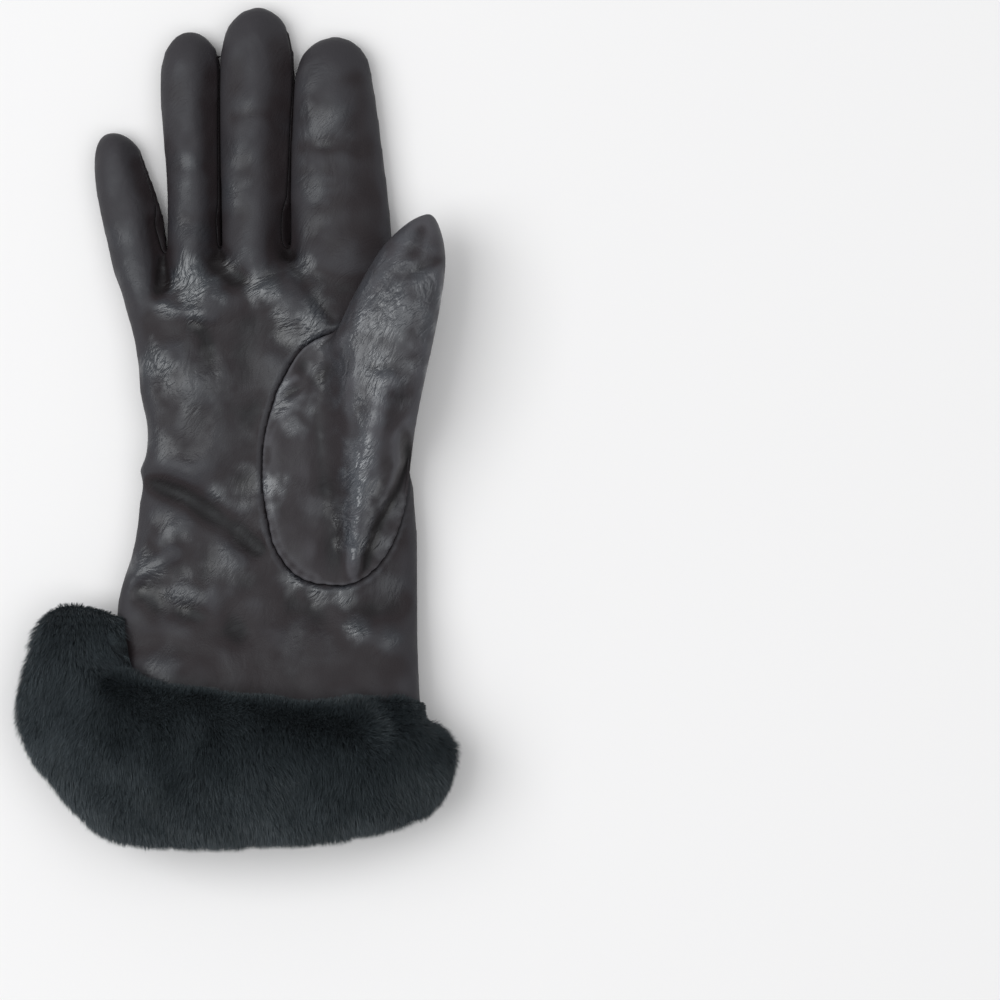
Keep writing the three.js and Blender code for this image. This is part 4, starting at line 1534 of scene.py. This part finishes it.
    def hair_piece(self, name: str, strands: np.ndarray, tone: np.ndarray) -> bpy.types.Object:
        """Joins hairs into one mesh, with their tone and the way along each as attributes.

        Args:
            name: The piece's name.
            strands: Five points for each hair, in mm.
            tone: How light each hair is, from 0 to 1.

        Returns:
            The piece.
        """
        count = len(strands)
        number = np.arange(count)
        faces = (number[:, None] * len(HAIR_CELL) + HAIR_FACES).reshape(-1, 3)
        mesh = bpy.data.meshes.new(name)
        mesh.vertices.add(count * len(HAIR_CELL))
        mesh.vertices.foreach_set("co", (strands * MM).astype(np.float32).ravel())
        mesh.loops.add(faces.size)
        mesh.loops.foreach_set("vertex_index", faces.ravel().astype(np.int32))
        mesh.polygons.add(len(faces))
        mesh.polygons.foreach_set("loop_start", np.arange(len(faces), dtype=np.int32) * 3)
        mesh.update(calc_edges=True)
        mesh.shade_smooth()
        write_attribute(mesh, "along", np.tile([0.0, 0.0, self.bend_at, self.bend_at, 1.0], count))
        write_attribute(mesh, "tone", np.repeat(tone, len(HAIR_CELL)))
        cells = math.ceil(math.sqrt(count))
        corner = np.column_stack([number % cells, number // cells])[:, None, :]
        places = ((corner + np.array(HAIR_CELL)) / cells).reshape(-1, 2)[faces.ravel()]
        mesh.uv_layers.new(name="OFBake").data.foreach_set("uv", places.astype(np.float32).ravel())
        return new_object(name, mesh)

    def dress(self, undercoat: bpy.types.Object, hair: list[bpy.types.Object]) -> None:
        """Gives the undercoat and the hair their finishes.

        Args:
            undercoat: The undercoat, which stands for the cuff's node.
            hair: The hair pieces.
        """
        dress_piece(undercoat, UNDERCOAT_FINISH.make(), Slot.FUR, "fur_cuff")
        hair_finish = HAIR_FINISH.make()
        for piece in hair:
            dress_piece(piece, hair_finish, Slot.FUR)


# Finishes

Colour = tuple[float, float, float]
Socket = bpy.types.NodeSocket


class NodeSheet:
    """Places nodes in a node tree and links their sockets."""

    def __init__(self, tree: bpy.types.NodeTree) -> None:
        """Starts a sheet for a tree, which is emptied."""
        self.tree = tree
        tree.nodes.clear()

    def feed(self, socket: Socket, value: object) -> None:
        """Links an output to a socket, or sets the socket's own value.

        Args:
            socket: The socket of an input.
            value: A socket of an output, or a number, a colour or a vector.
        """
        if isinstance(value, Socket):
            self.tree.links.new(value, socket)
        elif socket.type == "RGBA":
            socket.default_value = (*value, 1.0)
        else:
            socket.default_value = value

    def add(
        self, kind: str, *values: object, settings: dict | None = None, **sockets: object
    ) -> bpy.types.Node:
        """Adds a node.

        Args:
            kind: The node's type, without its ShaderNode prefix, or the full name of another type.
            *values: Values or output sockets for its first inputs, in their order.
            settings: Properties of the node.
            **sockets: The same for inputs by name, with _ for a space in an input's name.

        Returns:
            The node.
        """
        node = self.tree.nodes.new(kind if kind.startswith("NodeGroup") else "ShaderNode" + kind)
        for key, value in (settings or {}).items():
            setattr(node, key, value)
        for socket, value in zip(node.inputs, values):
            self.feed(socket, value)
        for key, value in sockets.items():
            self.feed(node.inputs[key.replace("_", " ")], value)
        return node

    def math(self, operation: str, *values: object) -> Socket:
        """A calculation with one to three values."""
        return self.add("Math", *values, settings={"operation": operation}).outputs[0]

    def between(
        self, value: object, low: float, high: float, start: float = 0.0, end: float = 1.0
    ) -> Socket:
        """Maps a value to a range, smoothly and with limits.

        Args:
            value: The value.
            low: The value that becomes start.
            high: The value that becomes end.
            start: The result at low.
            end: The result at high.

        Returns:
            The result.
        """
        limits = {"From_Min": low, "From_Max": high, "To_Min": start, "To_Max": end}
        node = self.add("MapRange", settings={"interpolation_type": "SMOOTHSTEP"}, Value=value, **limits)
        return node.outputs["Result"]

    def mix(self, share: object, first: object, second: object) -> Socket:
        """Mixes two colours.

        Args:
            share: The share of the second colour.
            first: The first colour.
            second: The second colour.

        Returns:
            The mixed colour.
        """
        node = self.add("Mix", share, settings={"data_type": "RGBA"})
        self.feed(node.inputs[6], first)
        self.feed(node.inputs[7], second)
        return node.outputs[2]

    def noise(self, size: float, detail: float, vector: Socket, distortion: float = 0.0) -> Socket:
        """Noise with features of a size in mm."""
        amounts = {"Scale": 1.0 / (size * MM), "Detail": detail, "Distortion": distortion}
        return self.add("TexNoise", Vector=vector, **amounts).outputs["Fac"]

    def place(self) -> Socket:
        """The place in the object's own frame."""
        return self.add("TexCoord").outputs["Object"]

    def attribute(self, name: str) -> Socket:
        """The number that a mesh stores under a name."""
        return self.add("Attribute", settings={"attribute_name": name}).outputs["Fac"]

    def surface(self, **sockets: object) -> None:
        """Adds the shader with its inputs, and the material's output."""
        shader = self.add("BsdfPrincipled", **sockets)
        self.add("OutputMaterial", Surface=shader.outputs["BSDF"])


def new_material(name: str) -> tuple[bpy.types.Material, NodeSheet]:
    """Starts a material.

    Args:
        name: The material's name.

    Returns:
        The material, and the empty sheet of its nodes.
    """
    material = bpy.data.materials.new(name)
    material.use_nodes = True
    return material, NodeSheet(material.node_tree)


class GroupSheet(NamedTuple):
    """A group of shader nodes with its sheet and its input and output nodes."""

    tree: bpy.types.NodeTree
    sheet: NodeSheet
    given: bpy.types.Node
    result: bpy.types.Node


def new_group(name: str, inputs: dict[str, str], outputs: dict[str, str]) -> GroupSheet:
    """Starts a group of shader nodes.

    Args:
        name: The group's name.
        inputs: The kind of socket for each of its inputs, by name.
        outputs: The same for its outputs.

    Returns:
        The group, with its inputs and outputs in place.
    """
    group = bpy.data.node_groups.new(name, "ShaderNodeTree")
    for entries, way in ((inputs, "INPUT"), (outputs, "OUTPUT")):
        for label, kind in entries.items():
            group.interface.new_socket(name=label, in_out=way, socket_type="NodeSocket" + kind)
    sheet = NodeSheet(group)
    return GroupSheet(group, sheet, sheet.add("NodeGroupInput"), sheet.add("NodeGroupOutput"))


class Hatch(NamedTuple):
    """Fine creases that run side by side, sizes in mm and their direction in degrees."""

    spacing: float
    stretch: float
    turn: float
    patch: float
    depth: float
    sharpness: float


@dataclass(frozen=True)
class LeatherGrain:
    """The grain of glove leather: pebbles, patches of fine creases and a soft mottle, in mm."""

    pebble_height: float = 0.22
    bend_size: float = 30.0  # size of the swirls that bend the creases
    bend: float = 22.0  # how far they bend them
    warp: float = 0.2
    faint: float = 0.3  # strength of the creases away from the shiny patches
    patch_edge: tuple[float, float] = (0.45, 0.65)
    patch_warp: float = 0.5
    mottle_size: float = 9.0
    hatches: tuple[Hatch, ...] = table(
        Hatch,
        (1.3, 3.0, 50.0, 12.0, 0.45, 0.10),
        (2.5, 2.6, 38.0, 17.0, 0.8, 0.12),
        (5.0, 2.0, 70.0, 27.0, 1.3, 0.16),
    )

    def creases(
        self, group: GroupSheet, hatch: Hatch, place: Socket, bent: Socket
    ) -> tuple[Socket, Socket]:
        """Adds the nodes of one kind of fine creases.

        Args:
            group: The group.
            hatch: The creases' sizes.
            place: The place on the object.
            bent: The same place, moved by the swirls.

        Returns:
            The creases, 0 at their bottom and 1 between them, and their depth.
        """
        sheet, given = group.sheet, group.given.outputs
        turned = sheet.add(
            "Mapping", settings={"vector_type": "TEXTURE"}, Vector=bent,
            Rotation=(0.0, 0.0, math.radians(hatch.turn)), Scale=(hatch.stretch, 1.0, hatch.stretch),
        )
        field = sheet.noise(hatch.spacing, 1.0, turned.outputs[0], self.warp)
        middle = sheet.math("ABSOLUTE", sheet.math("SUBTRACT", field, 0.5))
        lines = sheet.between(middle, 0.0, hatch.sharpness)
        patch = sheet.between(sheet.noise(hatch.patch, 1.0, place, self.patch_warp), *self.patch_edge)
        faint = sheet.math("MULTIPLY", patch, self.faint)
        strength = sheet.math("MAXIMUM", faint, given["Shine"])
        depth = sheet.math("MULTIPLY", strength, hatch.depth)
        return lines, sheet.math("MULTIPLY", depth, given["Crease Depth"])

    def make(self) -> bpy.types.NodeTree:
        """Makes the shared group.

        Returns:
            A group with the height of the surface, and a mottle from 0 to 1.
        """
        inputs = {"Pebble Size": "Float", "Crease Depth": "Float", "Shine": "Float"}
        group = new_group("glove_leather_grain", inputs, {"Height": "Float", "Mottle": "Float"})
        sheet = group.sheet
        place = sheet.place()
        scale = sheet.math("DIVIDE", 1.0 / MM, group.given.outputs["Pebble Size"])
        pebbles = sheet.add(
            "TexVoronoi", settings={"feature": "SMOOTH_F1"}, Vector=place, Scale=scale, Smoothness=0.5
        )
        height = sheet.math("SUBTRACT", 1.0, pebbles.outputs["Distance"])
        height = sheet.math("MULTIPLY", height, self.pebble_height)
        swirl = sheet.add("TexNoise", Vector=place, Scale=1.0 / (self.bend_size * MM), Detail=1.0)
        shift = (swirl.outputs["Color"], (self.bend * MM,) * 3, place)
        bent = sheet.add("VectorMath", *shift, settings={"operation": "MULTIPLY_ADD"})
        for hatch in self.hatches:
            lines, depth = self.creases(group, hatch, place, bent.outputs[0])
            height = sheet.math("MULTIPLY_ADD", lines, depth, height)
        sheet.feed(group.result.inputs["Height"], height)
        sheet.feed(group.result.inputs["Mottle"], sheet.noise(self.mottle_size, 4.0, place))
        return group.tree


@dataclass(frozen=True)
class PaintedLeatherLight:
    """Paints shade in the leather's folds, highlights on its ridges and a glint where it is rubbed
    shiny.
    """

    shade_depth: float = 0.65  # how deep in mm a fold has its full painted shade
    highlight_height: float = 0.60  # how high in mm a ridge has its full painted highlight
    mottle: float = 0.25
    # share of the painted bluish glint colour where the leather is fully shiny
    glint_share: float = 0.7

    def make(self) -> bpy.types.NodeTree:
        """Makes the shared group.

        Returns:
            A group with the colour.
        """
        names = ("Painted Fold Shade", "Face Colour", "Painted Ridge Highlight", "Painted Glint Colour")
        inputs = {**dict.fromkeys(names, "Color"), "Mottle": "Float", "Shine": "Float"}
        group = new_group("glove_leather_painted_light", inputs, {"Colour": "Color"})
        sheet, given = group.sheet, group.given.outputs
        mottle = sheet.math("SUBTRACT", given["Mottle"], 0.5)
        shifted = sheet.math("MULTIPLY_ADD", mottle, self.mottle, sheet.attribute("relief"))
        # Painted shade: the colour darkens in the folds.
        fold = sheet.between(shifted, -self.shade_depth, 0.0, 1.0, 0.0)
        # Painted highlight: the colour lightens on the ridges.
        ridge_highlight = sheet.between(shifted, 0.0, self.highlight_height)
        ground = sheet.mix(ridge_highlight, given["Face Colour"], given["Painted Ridge Highlight"])
        # Painted glint: a bluish tint where the leather is rubbed shiny.
        painted_glint = sheet.math("MULTIPLY", given["Shine"], self.glint_share)
        ground = sheet.mix(painted_glint, ground, given["Painted Glint Colour"])
        sheet.feed(group.result.inputs["Colour"], sheet.mix(fold, ground, given["Painted Fold Shade"]))
        return group.tree


@dataclass(frozen=True)
class LeatherFinish:
    """Thin glove leather with a soft sheen."""

    name: str
    # The face is the leather's own colour; the others are painted: shade in the folds, highlights on the
    # ridges and a glint where it is rubbed shiny.
    fold: Colour = (0.0090, 0.0064, 0.0070)
    face: Colour = (0.0215, 0.0158, 0.0175)
    ridge_highlight: Colour = (0.0370, 0.0340, 0.0385)
    painted_glint: Colour = (0.0260, 0.0340, 0.0430)
    pebble: float = 0.55
    crease: float = 1.0
    smooth_rough: float = 0.50
    dull_rough: float = 0.66
    dull_mottle: tuple[float, float] = (0.3, 0.7)
    shiny_rough: float = 0.36
    specular: float = 0.28
    specular_tint: Colour = (0.86, 0.96, 1.0)
    polish: float = 1.0  # weight of the polished coat where the leather is rubbed shiny
    polish_rough: float = 0.26
    polish_ior: float = 1.6
    relief: float = 0.17  # height of the grain, in mm

    def make(self, grain: bpy.types.NodeTree, relief: bpy.types.NodeTree) -> bpy.types.Material:
        """Makes the material from the shared groups.

        Args:
            grain: The group of the grain.
            relief: The group that paints the shade and highlights into the colour.

        Returns:
            The material.
        """
        material, sheet = new_material(self.name)
        shine = sheet.attribute("shine")
        texture = sheet.add(
            "Group", settings={"node_tree": grain},
            Pebble_Size=self.pebble, Crease_Depth=self.crease, Shine=shine,
        )
        mottle = texture.outputs["Mottle"]
        colours = (self.fold, self.face, self.ridge_highlight, self.painted_glint)
        tint = sheet.add("Group", *colours, mottle, shine, settings={"node_tree": relief})
        height = texture.outputs["Height"]
        bump = sheet.add("Bump", Distance=self.relief * MM, Strength=1.0, Height=height)
        dull = sheet.between(mottle, *self.dull_mottle, self.smooth_rough, self.dull_rough)
        softer = sheet.math("SUBTRACT", self.shiny_rough, dull)
        sheet.surface(
            Base_Color=tint.outputs["Colour"],
            Roughness=sheet.math("MULTIPLY_ADD", softer, shine, dull),
            Specular_IOR_Level=self.specular,
            Specular_Tint=self.specular_tint,
            Normal=bump.outputs["Normal"],
            Coat_Weight=sheet.between(shine, 0.0, 1.0, 0.0, self.polish),
            Coat_Roughness=self.polish_rough,
            Coat_IOR=self.polish_ior,
            Coat_Normal=bump.outputs["Normal"],
        )
        return material


PALM_FINISH = LeatherFinish("palm_leather")
# Painted light: a lighter copy of the palm's leather, with brighter painted highlights and glints, for
# the brightly lit thumb.
LIT_THUMB_FINISH = LeatherFinish(
    "thumb_leather_lit", face=(0.0285, 0.0230, 0.0255), ridge_highlight=(0.0700, 0.0670, 0.0750),
    painted_glint=(0.0580, 0.0670, 0.0800), shiny_rough=0.32, polish_rough=0.22,
)
# Painted shade: a darker copy of the leather for the strips, which lie in the shade between the fingers.
SHADED_STRIP_FINISH = LeatherFinish(
    "fourchette_leather_shaded", face=(0.0155, 0.0115, 0.0128), ridge_highlight=(0.0210, 0.0175, 0.0195),
    crease=0.5, specular=0.18,
)


@dataclass(frozen=True)
class HairFinish:
    """Soft blue-black fur hair, darker at its roots and lighter at its tips."""

    name: str
    root: Colour = (0.017, 0.0215, 0.0245)
    tip: Colour = (0.039, 0.051, 0.058)
    pale_tip: Colour = (0.074, 0.092, 0.104)
    pale_tones: tuple[float, float] = (0.2, 0.95)
    roughness: float = 0.5
    specular: float = 0.4

    def make(self) -> bpy.types.Material:
        """Makes the material, which reads each hair's tone and the way along it.

        Returns:
            The material.
        """
        material, sheet = new_material(self.name)
        pale = sheet.between(sheet.attribute("tone"), *self.pale_tones)
        tip = sheet.mix(pale, self.tip, self.pale_tip)
        colour = sheet.mix(sheet.between(sheet.attribute("along"), 0.0, 1.0), self.root, tip)
        sheet.surface(Base_Color=colour, Roughness=self.roughness, Specular_IOR_Level=self.specular)
        return material


@dataclass(frozen=True)
class NapFinish:
    """A matt finish with a fine nap as bump, sizes in mm."""

    name: str
    roughness: float
    nap_size: float
    nap_detail: float
    nap_height: float
    nap_strength: float = 1.0
    specular: float = 0.2

    def colour(self, sheet: NodeSheet, place: Socket, nap: Socket) -> object:
        """The colour, as an output or a plain value."""
        raise NotImplementedError

    def make(self) -> bpy.types.Material:
        """Makes the material.

        Returns:
            The material.
        """
        material, sheet = new_material(self.name)
        place = sheet.place()
        nap = sheet.noise(self.nap_size, self.nap_detail, place)
        bump = sheet.add("Bump", Distance=self.nap_height * MM, Strength=self.nap_strength, Height=nap)
        sheet.surface(
            Base_Color=self.colour(sheet, place, nap), Roughness=self.roughness,
            Normal=bump.outputs["Normal"], Specular_IOR_Level=self.specular,
        )
        return material


@dataclass(frozen=True)
class UndercoatFinish(NapFinish):
    """The dense undercoat and the pelt that carry the hair."""

    deep: Colour = (0.015, 0.019, 0.022)
    light: Colour = (0.035, 0.045, 0.051)
    tuft_size: float = 3.0
    tuft_detail: float = 2.0
    tuft_warp: float = 0.8
    tuft_edge: tuple[float, float] = (0.12, 0.4)

    def colour(self, sheet: NodeSheet, place: Socket, nap: Socket) -> Socket:
        """Makes the colour, lighter on the tufts.

        Args:
            sheet: The material's sheet.
            place: The place on the object.
            nap: The noise of the nap.

        Returns:
            The colour.
        """
        tufts = sheet.noise(self.tuft_size, self.tuft_detail, place, self.tuft_warp)
        lit = sheet.between(sheet.math("MULTIPLY", nap, tufts), *self.tuft_edge)
        return sheet.mix(lit, self.deep, self.light)


@dataclass(frozen=True)
class FloorFinish(NapFinish):
    """A matt pale paper with a hardly visible tooth."""

    paper: Colour = (0.88, 0.88, 0.885)

    def colour(self, sheet: NodeSheet, place: Socket, nap: Socket) -> Colour:
        """The paper's one colour."""
        return self.paper


HAIR_FINISH = HairFinish("fur_hair_finish")
UNDERCOAT_FINISH = UndercoatFinish("fur_undercoat_finish", 0.85, 0.5, 3.0, 0.5)
FLOOR_FINISH = FloorFinish("pale_floor", 0.9, 1.2, 2.0, 0.02, 0.3)


# The stage


@dataclass(frozen=True)
class AreaLight:
    """A soft square light, placed and aimed in metres."""

    name: str
    place: tuple[float, float, float]
    size: float
    watts: float

    def make(self, target: Vector) -> None:
        """Makes the light and aims it.

        Args:
            target: The point that it faces, in metres.
        """
        data = bpy.data.lights.new(self.name, "AREA")
        data.shape, data.size, data.energy = "SQUARE", self.size, self.watts
        light = new_object(self.name, data)
        light.location = self.place
        light.rotation_euler = (target - Vector(self.place)).to_track_quat("-Z", "Y").to_euler()


@dataclass(frozen=True)
class Studio:
    """The pale floor, the soft light and the camera straight above, in metres."""

    camera_height: float = 2.0
    view_width: float = 0.330  # width of the frame at the glove's middle height
    view_middle: tuple[float, float] = (0.08745, -0.02343)
    view_depth: float = 20.0  # how far the camera sees
    glove_height: float = 0.010
    sensor: float = 36.0  # in mm
    floor_size: float = 6.0
    world_light: float = 0.30
    key: AreaLight = AreaLight("key_light", (-1.4, 0.1, 2.1), 1.9, 38.0)
    fill: AreaLight = AreaLight("fill_light", (0.5, 0.0, 2.6), 3.0, 34.0)

    def build(self) -> None:
        """Makes the floor, the lights, the world and the camera."""
        bm = bmesh.new()
        bmesh.ops.create_grid(bm, x_segments=1, y_segments=1, size=self.floor_size / 2)
        floor = new_piece("floor", bm)
        floor.data.materials.append(FLOOR_FINISH.make())
        middle = Vector((*self.view_middle, 0.0))
        self.key.make(middle)
        self.fill.make(middle)
        world = bpy.data.worlds.new("soft_room")
        world.use_nodes = True
        world.node_tree.nodes["Background"].inputs["Color"].default_value = (1.0, 1.0, 1.0, 1.0)
        world.node_tree.nodes["Background"].inputs["Strength"].default_value = self.world_light
        bpy.context.scene.world = world
        bpy.context.scene.view_settings.view_transform = "Standard"
        data = bpy.data.cameras.new("camera")
        data.sensor_width = self.sensor
        data.lens = self.sensor * (self.camera_height - self.glove_height) / self.view_width
        data.clip_end = self.view_depth
        camera = new_object("camera", data)
        camera.location = (*self.view_middle, self.camera_height)
        bpy.context.scene.camera = camera


def dress_piece(
    piece: bpy.types.Object, finish: bpy.types.Material, slot: Slot, *nodes: str
) -> None:
    """Gives a piece its material and its body.

    Args:
        piece: The piece.
        finish: Its material.
        slot: The record's slot for it; not used.
        *nodes: The nodes that it stands for.
    """
    piece.data.materials.clear()
    piece.data.materials.append(finish)
    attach(piece, BODY)
    if nodes:
        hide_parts(*nodes)


def main() -> None:
    """Builds the glove on its stage."""
    logging.basicConfig(level=logging.INFO, format="%(name)s: %(message)s")
    Studio().build()
    glove = LeatherGlove(
        HandForm("hand_form", voxel=1.2, folds=HAND_FOLDS, patches=PATCHES),
        ThumbForm("thumb_form", voxel=0.8, folds=THUMB_FOLDS, patches=THUMB_PATCHES),
        ThumbSeam(first_y=-60.0, last_y=38.0),
        Seam(first_y=41.0, last_y=200.0, dip=0.25, dip_reach=0.6, lip=0.05),
    )
    leather = glove.build()
    glove.dress(leather)
    cuff = FurCuff(hair_length=5.0, hair_width=0.17, hairs=200_000, parts=4)
    undercoat = cuff.form("fur_undercoat", inset=4.6)
    hair = cuff.build_hair(undercoat)
    cuff.dress(undercoat, hair)
    for piece in (*leather.values(), undercoat, *hair):
        piece.data.calc_loop_triangles()
        log.info("%s: %d triangles", piece.name, len(piece.data.loop_triangles))


if __name__ == "__main__":
    main()
